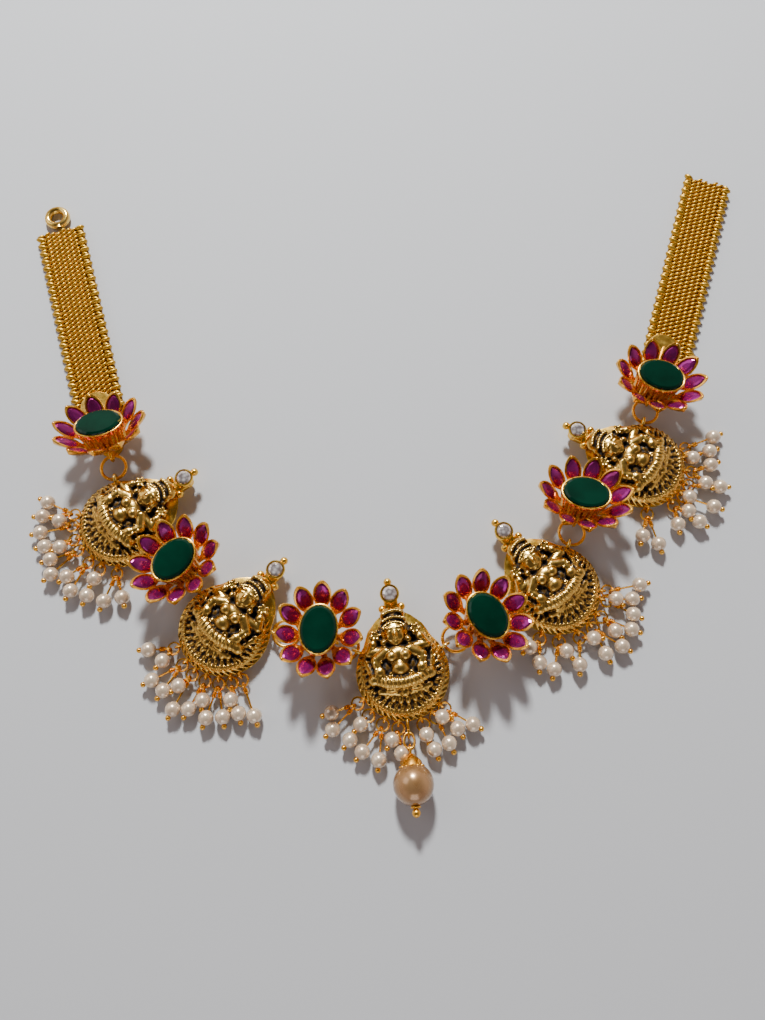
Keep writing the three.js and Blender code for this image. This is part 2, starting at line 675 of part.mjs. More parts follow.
// A woven band as one strip with a thicker rib along each edge
function buildBand(name) {
  const line = bandLine(bands[name]);
  const half = bandWidth / 2;
  const rib = half - bandEdgeWidth;
  const section = [
    [0, -half], [bandEdgeThickness, -half], [bandEdgeThickness, -rib], [bandThickness, -rib],
    [bandThickness, rib], [bandEdgeThickness, rib], [bandEdgeThickness, half], [0, half],
  ].map(([z, across]) => new THREE.Vector2(z, across));
  const strip = new THREE.ExtrudeGeometry(new THREE.Shape(section), {
    depth: line.to.distanceTo(line.from),
    bevelEnabled: false,
  });
  const frame = new THREE.Matrix4().makeBasis(
    new THREE.Vector3(0, 0, 1),
    new THREE.Vector3(line.across.x, line.across.y, 0),
    new THREE.Vector3(line.along.x, line.along.y, 0),
  );
  const piece = mesh(name, solid(strip.applyMatrix4(frame)), materials.woven);
  piece.position.set(line.from.x, line.from.y, 0);
  return piece;
}

// The polished eye past the free end of the left band
function buildEye() {
  const line = bandLine(bands.band_left);
  const centre = gap + eyeShank + eyeRadius;
  const shankFoot = new THREE.Vector2(gap, 0);
  const shank = bar(shankFoot, new THREE.Vector2(centre - eyeRadius, 0), 2 * eyeWire, 0, 2 * eyeWire);
  const made = solid(ring(eyeRadius, eyeRadius, eyeWire).translate(centre, 0, eyeWire)).add(solid(shank));
  const piece = mesh("clasp_eye", made, materials.gold);
  piece.rotation.z = Math.atan2(line.along.y, line.along.x);
  piece.position.set(line.to.x, line.to.y, 0);
  return piece;
}

const necklace = new THREE.Group();
for (const name of Object.keys(flowers)) necklace.add(buildFlower(name));
for (const name of Object.keys(pendants)) necklace.add(buildPendant(name));
for (const link of links) necklace.add(buildLink(link));
for (const fringe of fringes) necklace.add(buildFringe(fringe));
necklace.add(buildDrop());
for (const name of Object.keys(bands)) necklace.add(buildBand(name));
necklace.add(buildEye());

// The origin is under the middle of the whole
necklace.updateMatrixWorld(true);
const middle = new THREE.Box3().setFromObject(necklace, true).getCenter(new THREE.Vector3());
necklace.position.set(-middle.x, -middle.y, 0);

export default necklace;
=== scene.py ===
"""Temple jewellery necklace laid open on a pale table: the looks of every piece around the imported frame."""

import math

import bpy
from mathutils import Matrix, Vector
from mathutils.bvhtree import BVHTree


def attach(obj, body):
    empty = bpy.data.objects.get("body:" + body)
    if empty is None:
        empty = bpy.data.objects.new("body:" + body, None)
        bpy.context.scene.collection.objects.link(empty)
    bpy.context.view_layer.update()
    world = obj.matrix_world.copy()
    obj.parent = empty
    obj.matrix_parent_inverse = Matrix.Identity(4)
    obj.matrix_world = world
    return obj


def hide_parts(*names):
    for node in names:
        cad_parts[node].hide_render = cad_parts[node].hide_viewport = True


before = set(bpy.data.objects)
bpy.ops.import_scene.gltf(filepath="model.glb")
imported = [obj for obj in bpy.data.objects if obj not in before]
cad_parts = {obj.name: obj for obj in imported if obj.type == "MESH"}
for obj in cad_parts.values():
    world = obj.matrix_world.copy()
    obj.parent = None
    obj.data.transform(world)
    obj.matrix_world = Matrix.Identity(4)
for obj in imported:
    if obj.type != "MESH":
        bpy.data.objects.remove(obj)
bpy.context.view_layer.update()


def table(columns, rows):
    """The rows of a table, each by the names of its columns"""
    return [dict(zip(columns, row)) for row in rows]


# Pieces are modelled in millimetres and brought to metres when they are put in their place. The tables
# are in the plan that the frame has before its origin is put under the middle.
MM = 0.001
ORIGIN_X = 1.045
ORIGIN_Y = 11.281
GAP = 0.3
STONE_GAP = 0.15
STONE_SPREAD = 0.1

# Flower
PETALS = 11
RING_HALF_LENGTH = 10.1
RING_HALF_WIDTH = 9.2
PETAL_LENGTH = 6.4
PETAL_WIDTH = 3.75
PETAL_DEPTH = 1.0
PETAL_RISE = 43
PETAL_RIM = 0.5
PETAL_ROOT = 0.91
STEM_REACH = 2.6
WAIST_HEIGHT = 3.0
TOWER_HEIGHT = 5.5
FOOT_RADIUS = 1.7
FOOT_FLARE = 1.5
EMERALD_LENGTH = 9.3
EMERALD_WIDTH = 6.9
EMERALD_RIM = 0.2
EMERALD_TABLE = 0.84

# Pendant
PLATE_RADIUS = 9.2
PLATE_LOW = 1.15
PLATE_THICKNESS = 0.5
SPIRE_Y = 15.4
BEZEL_RADIUS = 1.95
BEZEL_TOP = 4.6
SPIRE_BALL = 0.8
DIAMOND_RADIUS = 1.45
HOLE_RING = PLATE_RADIUS - 0.8
EYELET_RING = HOLE_RING + 0.2
EYELETS = 13
EYELET_RADIUS = 0.5
EYELET_WIRE = 0.16

# Links, lugs and fringe
LINK_HEIGHT = PLATE_LOW + PLATE_THICKNESS / 2 + 0.2
LINK_WIRE = 0.33
LUG_RADIUS = 0.96
LUG_WIRE = 0.32
WIDE_LINK = 2.6
CLOSE_LINK = 1.5
PEARL_RADIUS = 1.52
PIN_WIRE = 0.21
PEARL_CLEARANCE = 0.04
CLEARING_ROUNDS = 60
PIN_BALL = 0.56
PIN_EYE = 0.62
PIN_TURNS = 3
TURN_RADIUS = 0.34
TURN_PITCH = 0.34
TURNS_FROM = 0.75
HANGER_RADIUS = 0.85
HANGER_OUT = 0.75
HANGER_HEIGHT = 1.5
RING_RADIUS = 1.2
RING_OUT = 0.8
RING_HEIGHT = 1.35

# Drop, bands and eye
DROP_DIRECTION = 275
DROP_PEARL_RADIUS = 3.85
DROP_PIN_SLOPE = 12
DROP_UPPER = 1.9
DROP_LOWER = 1.5
DROP_LOWER_SLOPE = 14
LOOP_WIRE = 0.24
LOOP_HALF_HEIGHT = 1.05
CAP_HEIGHT = 1.3
CAP_RADIUS = 2.2
CAP_TOP = 0.6
CAP_BEAD = 0.34
CAP_BEADS = 12
END_BALL = 0.85
BAND_WIDTH = 11.4
BAND_THICKNESS = 2.0
DISC_RADIUS = 3.5
TONGUE_SPREAD = 5.2
EYE_RADIUS = 2.1
EYE_WIRE = 0.8
EYE_SHANK = 0.9

FLOWERS = {
    "flower_1": {"x": -58.2, "y": 14.2, "turn": 16, "lean": 22, "towards": 95},
    "flower_2": {"x": -40.5, "y": -12.7, "turn": 50, "lean": 6, "towards": 120},
    "flower_3": {"x": -12.2, "y": -26.3, "turn": 87, "lean": 6, "towards": 90},
    "flower_4": {"x": 19.7, "y": -23.6, "turn": 125, "lean": 7, "towards": 50},
    "flower_5": {"x": 40.9, "y": 0.0, "turn": 168, "lean": 14, "towards": 95},
    "flower_6": {"x": 58.2, "y": 26.2, "turn": 160, "lean": 6, "towards": 90},
}

PENDANTS = {
    "pendant_1": {"x": -53.6, "y": -3.2, "turn": 35.4},
    "pendant_2": {"x": -31.5, "y": -25.1, "turn": 49},
    "pendant_3": {"x": 4.0, "y": -33.5, "turn": 99.8},
    "pendant_4": {"x": 34.9, "y": -17.0, "turn": 132},
    "pendant_5": {"x": 54.7, "y": 9.3, "turn": 153},
}

LINKS = table(("pendant", "flower", "side", "radius"), [
    ("pendant_1", "flower_1", -1, WIDE_LINK),
    ("pendant_1", "flower_2", 1, CLOSE_LINK),
    ("pendant_2", "flower_2", -1, CLOSE_LINK),
    ("pendant_2", "flower_3", 1, WIDE_LINK),
    ("pendant_3", "flower_3", -1, WIDE_LINK),
    ("pendant_3", "flower_4", 1, WIDE_LINK),
    ("pendant_4", "flower_4", -1, CLOSE_LINK),
    ("pendant_4", "flower_5", 1, WIDE_LINK),
    ("pendant_5", "flower_5", -1, CLOSE_LINK),
    ("pendant_5", "flower_6", 1, WIDE_LINK),
])

BANDS = {
    "band_left": {
        "flower": "flower_1", "from": (-60.8, 20.8), "to": (-75.0, 67.3), "disc": 1.6, "aside": 0.0},
    "band_right": {
        "flower": "flower_6", "from": (61.2, 29.6), "to": (77.1, 80.5), "disc": 6.2, "aside": -1.6},
}


def deselect():
    if bpy.context.object and bpy.context.object.mode != "OBJECT":
        bpy.ops.object.mode_set(mode="OBJECT")
    bpy.ops.object.select_all(action="DESELECT")


def take(piece):
    """Makes a piece the only one selected, and active"""
    deselect()
    piece.select_set(True)
    bpy.context.view_layer.objects.active = piece
    return piece


def apply_place(piece):
    take(piece)
    bpy.ops.object.transform_apply(location=True, rotation=True, scale=True)
    return piece


def turned_by(degrees, axis="Z"):
    return Matrix.Rotation(math.radians(degrees), 4, axis)


def moved(x, y, z=0.0):
    return Matrix.Translation((x, y, z))


def on_circle(radius, degrees):
    angle = math.radians(degrees)
    return Vector((radius * math.cos(angle), radius * math.sin(angle), 0))


def on_oval(half_length, half_width, angle, height=0.0):
    return Vector((half_length * math.cos(angle), half_width * math.sin(angle), height))


def bearing_of(reach):
    """The direction of a vector in plan, in degrees"""
    return math.degrees(math.atan2(reach.y, reach.x))


def in_radians(turn):
    return [math.radians(angle) for angle in turn]


def copies(model, places, keep=False):
    """One copy of a model, with its own mesh, at each place. The model goes, unless it is kept."""
    made = []
    for place in places:
        piece = model.copy()
        piece.data = model.data.copy()
        piece.matrix_world = place @ model.matrix_world
        bpy.context.collection.objects.link(piece)
        made.append(piece)
    if not keep:
        bpy.data.objects.remove(model)
    return made


def joined(pieces, name):
    deselect()
    for piece in pieces:
        piece.select_set(True)
    bpy.context.view_layer.objects.active = pieces[0]
    if len(pieces) > 1:
        bpy.ops.object.join()
    whole = bpy.context.object
    whole.name = name
    return apply_place(whole)


def ball(at, size, turn=(0, 0, 0), segments=14, rings=8):
    deselect()
    bpy.ops.mesh.primitive_uv_sphere_add(segments=segments, ring_count=rings, radius=1, location=at,
                                         rotation=in_radians(turn), scale=size)
    return bpy.context.object


def hoop(radius, wire, at=(0, 0, 0), turn=(0, 0, 0), size=(1, 1, 1), segments=32, sides=8):
    deselect()
    bpy.ops.mesh.primitive_torus_add(major_segments=segments, minor_segments=sides, major_radius=radius,
                                     minor_radius=wire, location=at, rotation=in_radians(turn))
    ring = bpy.context.object
    ring.scale = size
    return ring


def block(at, size):
    deselect()
    bpy.ops.mesh.primitive_cube_add(size=1, location=at, scale=size)
    return apply_place(bpy.context.object)


def rod(start, end, radius, sides=8, end_radius=None):
    """A straight round rod, or a tapered one, between two points"""
    start, end = Vector(start), Vector(end)
    reach = end - start
    deselect()
    bpy.ops.mesh.primitive_cone_add(vertices=sides, radius1=radius, depth=reach.length,
                                    radius2=radius if end_radius is None else end_radius,
                                    location=(start + end) / 2,
                                    rotation=reach.to_track_quat("Z", "Y").to_euler())
    return bpy.context.object


def limb(start, end, radius, end_radius):
    """A tapered rod with rounded ends, for arms, legs and rolls"""
    start, end = Vector(start), Vector(end)
    reach = end - start
    piece = ball((start + end) / 2, (1, 1, 1), segments=14, rings=10)

    def drawn_out(corner):
        side = round(math.copysign(abs(corner.z) > 0.001, corner.z))
        thick = radius + (end_radius - radius) * (side + 1) / 2
        return Vector((corner.x * thick, corner.y * thick, corner.z * thick + side * reach.length / 2))

    reshaped(piece, drawn_out)
    piece.rotation_euler = reach.to_track_quat("Z", "Y").to_euler()
    return piece


def reshaped(piece, rule):
    """Moves each corner of a piece to where a rule puts it"""
    for vertex in piece.data.vertices:
        vertex.co = rule(vertex.co)
    return piece


def turned_form(rows, sides, at=(0, 0, 0), outline=None):
    """A closed form raised ring by ring from a disc, from rows of half length, half width and height"""
    deselect()
    length, width, height = rows[0]
    bpy.ops.mesh.primitive_circle_add(vertices=sides, radius=1, fill_type="NGON")
    piece = bpy.context.object
    if outline:
        reshaped(piece, outline)
    bpy.ops.object.mode_set(mode="EDIT")
    bpy.ops.mesh.select_all(action="SELECT")
    bpy.ops.transform.resize(value=(length, width, 1))
    bpy.ops.transform.translate(value=(at[0], at[1], at[2] + height))
    for next_length, next_width, next_height in rows[1:]:
        bpy.ops.mesh.extrude_region_move(TRANSFORM_OT_translate={"value": (0, 0, next_height - height)})
        bpy.ops.transform.resize(value=(next_length / length, next_width / width, 1))
        length, width, height = next_length, next_width, next_height
    bpy.ops.mesh.select_all(action="SELECT")
    bpy.ops.mesh.normals_make_consistent(inside=False)
    bpy.ops.object.mode_set(mode="OBJECT")
    return piece


def round_form(rows, sides, at=(0, 0, 0)):
    """A turned form that is round, from rows of radius and height"""
    return turned_form([(radius, radius, height) for radius, height in rows], sides, at=at)


def smooth(piece, degrees=40):
    take(piece)
    bpy.ops.object.shade_smooth_by_angle(angle=math.radians(degrees))
    return piece


def bevelled(piece, width, segments=2):
    take(piece)
    modifier = piece.modifiers.new("soft edges", "BEVEL")
    modifier.width = width
    modifier.segments = segments
    modifier.limit_method = "ANGLE"
    modifier.angle_limit = math.radians(35)
    bpy.ops.object.modifier_apply(modifier=modifier.name)
    return piece


def coated(piece, *materials):
    piece.data.materials.clear()
    for material in materials:
        piece.data.materials.append(material)
    return piece


def finished(piece, name, place, nodes):
    """Puts a piece in its place in the frame, in metres, and has it stand for its nodes"""
    piece.matrix_world = Matrix.Scale(MM, 4) @ moved(-ORIGIN_X, -ORIGIN_Y) @ place @ piece.matrix_world
    piece.name = name
    piece.data.name = name
    apply_place(piece)
    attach(piece, "root")
    if nodes:
        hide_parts(*nodes)
    return piece


# Materials

def group_socket(tree, name, direction, kind, value=None):
    socket = tree.interface.new_socket(name=name, in_out=direction, socket_type=kind)
    if value is not None:
        socket.default_value = value
    return socket


def fill(node, values):
    """Sets the values of a node's inputs by their names"""
    for socket, value in values.items():
        node.inputs[socket].default_value = value


def make_metal_grain():
    """Fine unevenness of hand-finished gold: a mask for roughness and colour, and a bumped normal"""
    tree = bpy.data.node_groups.new("Metal Grain", "ShaderNodeTree")
    group_socket(tree, "Scale", "INPUT", "NodeSocketFloat", 1500.0)
    group_socket(tree, "Depth", "INPUT", "NodeSocketFloat", 0.15)
    group_socket(tree, "Mask", "OUTPUT", "NodeSocketFloat")
    group_socket(tree, "Normal", "OUTPUT", "NodeSocketVector")
    nodes, wires = tree.nodes, tree.links
    inside, outside = nodes.new("NodeGroupInput"), nodes.new("NodeGroupOutput")
    place = nodes.new("ShaderNodeTexCoord")
    noise = nodes.new("ShaderNodeTexNoise")
    fill(noise, {"Detail": 4.0, "Roughness": 0.6})
    bump = nodes.new("ShaderNodeBump")
    fill(bump, {"Distance": 0.0001})
    wires.new(place.outputs["Object"], noise.inputs["Vector"])
    wires.new(inside.outputs["Scale"], noise.inputs["Scale"])
    wires.new(inside.outputs["Depth"], bump.inputs["Strength"])
    wires.new(noise.outputs["Fac"], bump.inputs["Height"])
    wires.new(noise.outputs["Fac"], outside.inputs["Mask"])
    wires.new(bump.outputs["Normal"], outside.inputs["Normal"])
    return tree


def make_clouds():
    """Soft clouds inside stones and pearls, as a mask"""
    tree = bpy.data.node_groups.new("Clouds", "ShaderNodeTree")
    group_socket(tree, "Scale", "INPUT", "NodeSocketFloat", 300.0)
    group_socket(tree, "Mask", "OUTPUT", "NodeSocketFloat")
    nodes, wires = tree.nodes, tree.links
    inside, outside = nodes.new("NodeGroupInput"), nodes.new("NodeGroupOutput")
    place = nodes.new("ShaderNodeTexCoord")
    noise = nodes.new("ShaderNodeTexNoise")
    fill(noise, {"Detail": 3.0})
    wires.new(place.outputs["Object"], noise.inputs["Vector"])
    wires.new(inside.outputs["Scale"], noise.inputs["Scale"])
    wires.new(noise.outputs["Fac"], outside.inputs["Mask"])
    return tree


METAL_GRAIN = make_metal_grain()
CLOUDS = make_clouds()


def new_material(name):
    material = bpy.data.materials.new(name)
    material.use_nodes = True
    tree = material.node_tree
    return material, tree.nodes, tree.links, tree.nodes["Principled BSDF"]


def placed_group(nodes, group, values):
    node = nodes.new("ShaderNodeGroup")
    node.node_tree = group
    fill(node, values)
    return node


def blend_colours(nodes, wires, factor, first, second):
    mix = nodes.new("ShaderNodeMix")
    mix.data_type = "RGBA"
    mix.inputs["A"].default_value = (*first, 1)
    mix.inputs["B"].default_value = (*second, 1)
    wires.new(factor, mix.inputs["Factor"])
    return mix.outputs["Result"]


def spread(nodes, wires, factor, low, high, to_low, to_high):
    """Brings a factor from one range to another, held at both ends"""
    step = nodes.new("ShaderNodeMapRange")
    fill(step, {"From Min": low, "From Max": high, "To Min": to_low, "To Max": to_high})
    wires.new(factor, step.inputs["Value"])
    return step.outputs["Result"]


def gold_finish(name, pale, deep, rough_low, rough_high, scale, depth):
    material, nodes, wires, shader = new_material(name)
    grain = placed_group(nodes, METAL_GRAIN, {"Scale": scale, "Depth": depth})
    tint = spread(nodes, wires, grain.outputs["Mask"], 0.3, 0.7, 0.0, 1.0)
    wires.new(blend_colours(nodes, wires, tint, deep, pale), shader.inputs["Base Color"])
    roughness = spread(nodes, wires, grain.outputs["Mask"], 0.3, 0.7, rough_low, rough_high)
    wires.new(roughness, shader.inputs["Roughness"])
    wires.new(grain.outputs["Normal"], shader.inputs["Normal"])
    fill(shader, {"Metallic": 1.0})
    return material


def antique_finish(name, pale, deep, dark):
    """Cast gold darkened in its recesses, partly as real patina and partly as painted shade, from the recess
    attribute of its mesh
    """
    material, nodes, wires, shader = new_material(name)
    grain = placed_group(nodes, METAL_GRAIN, {"Scale": 2200.0, "Depth": 0.3})
    recess = nodes.new("ShaderNodeAttribute")
    recess.attribute_name = "recess"
    uneven = nodes.new("ShaderNodeMath")
    uneven.operation = "ADD"
    wires.new(recess.outputs["Fac"], uneven.inputs[0])
    wires.new(spread(nodes, wires, grain.outputs["Mask"], 0.3, 0.7, -0.06, 0.06), uneven.inputs[1])
    # The recess attribute measures how hemmed in each point is; the darkening it drives is the patina of the
    # hollows together with painted shade there.
    patina_and_shade = spread(nodes, wires, uneven.outputs["Value"], 0.14, 0.3, 0.0, 1.0)
    tint = spread(nodes, wires, uneven.outputs["Value"], 0.0, 0.15, 0.0, 1.0)
    metal = blend_colours(nodes, wires, tint, pale, deep)
    mix = nodes.new("ShaderNodeMix")
    mix.data_type = "RGBA"
    mix.inputs["B"].default_value = (*dark, 1)
    wires.new(patina_and_shade, mix.inputs["Factor"])
    wires.new(metal, mix.inputs["A"])
    wires.new(mix.outputs["Result"], shader.inputs["Base Color"])
    wires.new(spread(nodes, wires, patina_and_shade, 0.0, 1.0, 0.24, 0.62), shader.inputs["Roughness"])
    wires.new(spread(nodes, wires, patina_and_shade, 0.0, 1.0, 1.0, 0.35), shader.inputs["Metallic"])
    wires.new(grain.outputs["Normal"], shader.inputs["Normal"])
    return material


def stone_finish(name, pale, deep, scale, roughness, coat, shine, foil):
    """A set stone, clouded a little inside, over a foil that throws light back through it"""
    material, nodes, wires, shader = new_material(name)
    cloud = placed_group(nodes, CLOUDS, {"Scale": scale})
    tint = spread(nodes, wires, cloud.outputs["Mask"], 0.35, 0.65, 0.0, 1.0)
    wires.new(blend_colours(nodes, wires, tint, deep, pale), shader.inputs["Base Color"])
    fill(shader, {"Roughness": roughness, "IOR": 1.6, "Specular IOR Level": shine, "Metallic": foil})
    fill(shader, {"Coat Weight": coat, "Coat Roughness": 0.04})
    return material


def pearl_finish(name, pale, deep, lustre):
    material, nodes, wires, shader = new_material(name)
    cloud = placed_group(nodes, CLOUDS, {"Scale": 420.0})
    tint = spread(nodes, wires, cloud.outputs["Mask"], 0.4, 0.75, 0.0, 1.0)
    wires.new(blend_colours(nodes, wires, tint, pale, deep), shader.inputs["Base Color"])
    roughness = spread(nodes, wires, cloud.outputs["Mask"], 0.3, 0.7, 0.2, 0.32)
    wires.new(roughness, shader.inputs["Roughness"])
    fill(shader, {"Metallic": lustre, "Coat Weight": 0.8, "Coat Roughness": 0.12})
    return material


BRIGHT_GOLD = gold_finish("bright gold", (0.95, 0.54, 0.09), (0.82, 0.36, 0.03), 0.2, 0.34, 900.0, 0.2)
POLISHED_GOLD = gold_finish("polished gold", (0.95, 0.66, 0.18), (0.88, 0.55, 0.1), 0.14, 0.24, 500.0, 0.1)
SATIN_GOLD = gold_finish("satin gold", (0.96, 0.62, 0.12), (0.9, 0.5, 0.05), 0.18, 0.32, 700.0, 0.15)
WOVEN_GOLD = gold_finish("woven gold", (0.68, 0.42, 0.06), (0.47, 0.25, 0.02), 0.32, 0.48, 1400.0, 0.25)
# Painted shade: the dark gold of the band backs stands for the shade in the gaps of the weave.
SHADE_PAINTED_GOLD = gold_finish("shade-painted gold", (0.4, 0.19, 0.03), (0.24, 0.1, 0.015), 0.5, 0.7, 1400.0, 0.2)
ANTIQUE_GOLD = antique_finish("antique gold", (0.78, 0.49, 0.11), (0.27, 0.13, 0.02), (0.008, 0.004, 0.002))
RUBY = stone_finish("ruby", (0.34, 0.014, 0.23), (0.18, 0.005, 0.085), 260.0, 0.22, 0.2, 0.6, 0.8)
EMERALD = stone_finish("emerald", (0.0, 0.024, 0.012), (0.0, 0.014, 0.007), 160.0, 0.12, 0.0, 0.15, 0.0)
SEED_PEARL = pearl_finish("seed pearl", (0.78, 0.62, 0.44), (0.56, 0.4, 0.26), 0.5)
DROP_PEARL = pearl_finish("champagne pearl", (0.43, 0.24, 0.1), (0.31, 0.15, 0.05), 0.6)


def make_diamond_finish():
    material, nodes, wires, shader = new_material("diamond")
    place = nodes.new("ShaderNodeTexCoord")
    # Painted glints: the base colour is speckled bright and dark to stand for the reflections in the facets.
    painted_glints = nodes.new("ShaderNodeTexVoronoi")
    painted_glints.inputs["Scale"].default_value = 1300.0
    wires.new(place.outputs["Object"], painted_glints.inputs["Vector"])
    tint = spread(nodes, wires, painted_glints.outputs["Distance"], 0.1, 0.7, 0.0, 1.0)
    colour = blend_colours(nodes, wires, tint, (1.0, 0.94, 0.9), (0.3, 0.25, 0.24))
    wires.new(colour, shader.inputs["Base Color"])
    fill(shader, {"Metallic": 0.55, "Roughness": 0.06, "IOR": 2.2})
    return material


DIAMOND = make_diamond_finish()


# Flowers

def marquise(corner):
    """Pinches a round outline to the pointed one of a petal"""
    return Vector((corner.x, math.copysign(abs(corner.y) ** 1.3, corner.y), corner.z))


def build_petal():
    """One petal along +X up to its tip at the origin: cup with raised rim, ruby, claw and stem"""
    length, width = PETAL_LENGTH / 2, PETAL_WIDTH / 2
    inner_length, inner_width = length - 1.5 * PETAL_RIM, width - PETAL_RIM
    cup = turned_form([
        (length * 0.8, width * 0.45, 0.0),
        (length * 0.92, width * 0.84, PETAL_DEPTH * 0.5),
        (length, width, PETAL_DEPTH * 0.85),
        (length * 0.98, width * 0.96, PETAL_DEPTH + 0.04),
        (inner_length * 1.07, inner_width * 1.14, PETAL_DEPTH + 0.1),
        (inner_length, inner_width, PETAL_DEPTH - 0.25),
    ], 24, outline=marquise)
    ruby = turned_form([
        (inner_length * 0.95, inner_width * 0.9, PETAL_DEPTH - 0.55),
        (inner_length * 1.01, inner_width * 1.01, PETAL_DEPTH - 0.2),
        (inner_length * 0.84, inner_width * 0.78, PETAL_DEPTH + 0.0),
        (inner_length * 0.52, inner_width * 0.44, PETAL_DEPTH + 0.08),
    ], 12, outline=marquise)
    claw = ball((length - 0.42, 0, PETAL_DEPTH - 0.06), (0.34, 0.34, 0.22), segments=10, rings=6)
    stem = rod((-length - STEM_REACH, 0, 0.35), (-length * 0.55, 0, PETAL_DEPTH * 0.5), 0.5,
               sides=10, end_radius=0.75)
    for part in (cup, claw, stem):
        coated(smooth(part, 50), BRIGHT_GOLD)
    coated(ruby, RUBY)
    petal = joined([cup, claw, stem, ruby], "petal")
    petal.data.transform(moved(-length, 0))
    return petal


def lean_matrix(spot):
    tipped = math.radians(spot["towards"])
    axis = Vector((-math.sin(tipped), math.cos(tipped), 0))
    return Matrix.Rotation(math.radians(spot["lean"]), 4, axis) @ turned_by(spot["turn"])


RIM_HALF_LENGTH = EMERALD_LENGTH / 2 + STONE_GAP
RIM_HALF_WIDTH = EMERALD_WIDTH / 2 + STONE_GAP
TOWER_ROOT = 0.8
TOWER_SKIRT = -0.3
FLUTES = 24
FLUTE_INSET = 0.3
LEDGE_WIRE = 0.3


def build_tower():
    """The oval tower: a core, the flutes round it and the rim that holds the emerald"""
    length, width = RIM_HALF_LENGTH, RIM_HALF_WIDTH
    core = turned_form([
        (FOOT_RADIUS * 1.3, FOOT_RADIUS * 1.1, -1.0),
        (length * TOWER_ROOT, width * TOWER_ROOT, TOWER_SKIRT),
        (length - 0.1, width - 0.1, TOWER_HEIGHT - 0.1),
    ], 52)
    flutes = []
    for i in range(FLUTES):
        angle = 2 * math.pi * (i + 0.5) / FLUTES
        low = on_oval(length * TOWER_ROOT, width * TOWER_ROOT, angle, TOWER_SKIRT)
        high = on_oval(length - FLUTE_INSET, width - FLUTE_INSET, angle, TOWER_HEIGHT - 0.35)
        flutes.append(rod(low, high, 0.4, sides=8, end_radius=0.46))
    rim = hoop(width, EMERALD_RIM, at=(0, 0, TOWER_HEIGHT), size=(length / width, 1, 1),
               segments=64, sides=10)
    ledge_length, ledge_width = length - LEDGE_WIRE, width - LEDGE_WIRE
    ledge = hoop(ledge_width, LEDGE_WIRE, at=(0, 0, TOWER_HEIGHT - 0.75),
                 size=(ledge_length / ledge_width, 1, 1), segments=52, sides=8)
    tower = joined([core, *flutes, rim, ledge], "tower")
    smooth(tower, 60)
    return coated(tower, BRIGHT_GOLD)


def link_ends(link):
    """Where a link's two lugs lie, on the pendant's rim and beside the flower's foot, and its bearing"""
    pendant, flower = PENDANTS[link["pendant"]], FLOWERS[link["flower"]]
    start, end = Vector((pendant["x"], pendant["y"])), Vector((flower["x"], flower["y"]))
    away = end - start
    reach = PLATE_RADIUS + LUG_WIRE + GAP
    needed = FOOT_RADIUS + LUG_WIRE + GAP + 2 * link["radius"]
    distance = away.length
    cosine = (distance ** 2 + reach ** 2 - needed ** 2) / (2 * distance * reach)
    swing = math.acos(min(1.0, cosine)) if distance < reach + needed else 0.0
    bearing = math.atan2(away.y, away.x) + link["side"] * swing
    at_pendant = start + Vector((reach * math.cos(bearing), reach * math.sin(bearing)))
    towards = (end - at_pendant).normalized()
    at_flower = at_pendant + towards * 2 * link["radius"]
    return at_pendant, at_flower, bearing_of(towards)


def build_lug(at, bearing):
    return hoop(LUG_RADIUS, LUG_WIRE, at=(at.x, at.y, LINK_HEIGHT), turn=(90, 0, bearing),
                segments=24, sides=10)


def band_line(name):
    band = BANDS[name]
    start, end = Vector(band["from"]), Vector(band["to"])
    along = (end - start).normalized()
    return start, end, along, Vector((along.y, -along.x))


def petal_places(head_place):
    places = []
    for i in range(PETALS):
        angle = 2 * math.pi * i / PETALS
        tip = on_oval(RING_HALF_LENGTH, RING_HALF_WIDTH, angle)
        root = on_oval(EMERALD_LENGTH / 2, EMERALD_WIDTH / 2, angle).length * PETAL_ROOT
        rise = (tip.length - root) * math.tan(math.radians(PETAL_RISE))
        place = head_place @ turned_by(bearing_of(tip)) @ moved(tip.length, 0, rise)
        places.append(place @ turned_by(-PETAL_RISE, "Y"))
    return places


def build_disc(name, centre):
    """The polished disc on the end of a band and the tongue that carries it"""
    start, _, along, across = band_line(name)
    at = start + along * BANDS[name]["disc"] + across * BANDS[name]["aside"] - centre
    low = BAND_THICKNESS + GAP
    disc = round_form([
        (DISC_RADIUS - 0.15, low),
        (DISC_RADIUS, low + 0.15),
        (DISC_RADIUS, low + 0.3),
        (DISC_RADIUS - 0.25, low + 0.5),
    ], 40, at=(at.x, at.y, 0))
    tongue = rod((0, 0, low + 0.25), (at.x, at.y, low + 0.25), 0.25, sides=8)
    tongue.scale = (1, TONGUE_SPREAD, 1)
    smooth(disc, 35)
    return [coated(apply_place(part), SATIN_GOLD) for part in (disc, tongue)]


def build_flower(name):
    spot = FLOWERS[name]
    centre = Vector((spot["x"], spot["y"]))
    head_place = moved(0, 0, WAIST_HEIGHT) @ lean_matrix(spot)
    pieces = copies(build_petal(), petal_places(head_place))
    pieces += copies(build_tower(), [head_place])
    metal = [round_form([
        (FOOT_RADIUS * FOOT_FLARE, 0.0),
        (FOOT_RADIUS * FOOT_FLARE, 0.4),
        (FOOT_RADIUS, 0.9),
        (FOOT_RADIUS, WAIST_HEIGHT),
    ], 24)]
    for link in [link for link in LINKS if link["flower"] == name]:
        at_flower, bearing = link_ends(link)[1:]
        at = at_flower - centre
        metal.append(build_lug(at, bearing))
        arm = at.normalized() * (at.length - LUG_RADIUS)
        arm_end = (arm.x, arm.y, LINK_HEIGHT)
        metal.append(rod((0, 0, LINK_HEIGHT), arm_end, 0.5, sides=10, end_radius=0.36))
    for band_name in [key for key in BANDS if BANDS[key]["flower"] == name]:
        pieces += build_disc(band_name, centre)
    fittings = joined(metal, "fittings")
    smooth(fittings, 45)
    pieces.append(coated(fittings, BRIGHT_GOLD))
    whole = joined(pieces, name)
    return finished(whole, name + "_gold_and_rubies", moved(spot["x"], spot["y"]), [name])


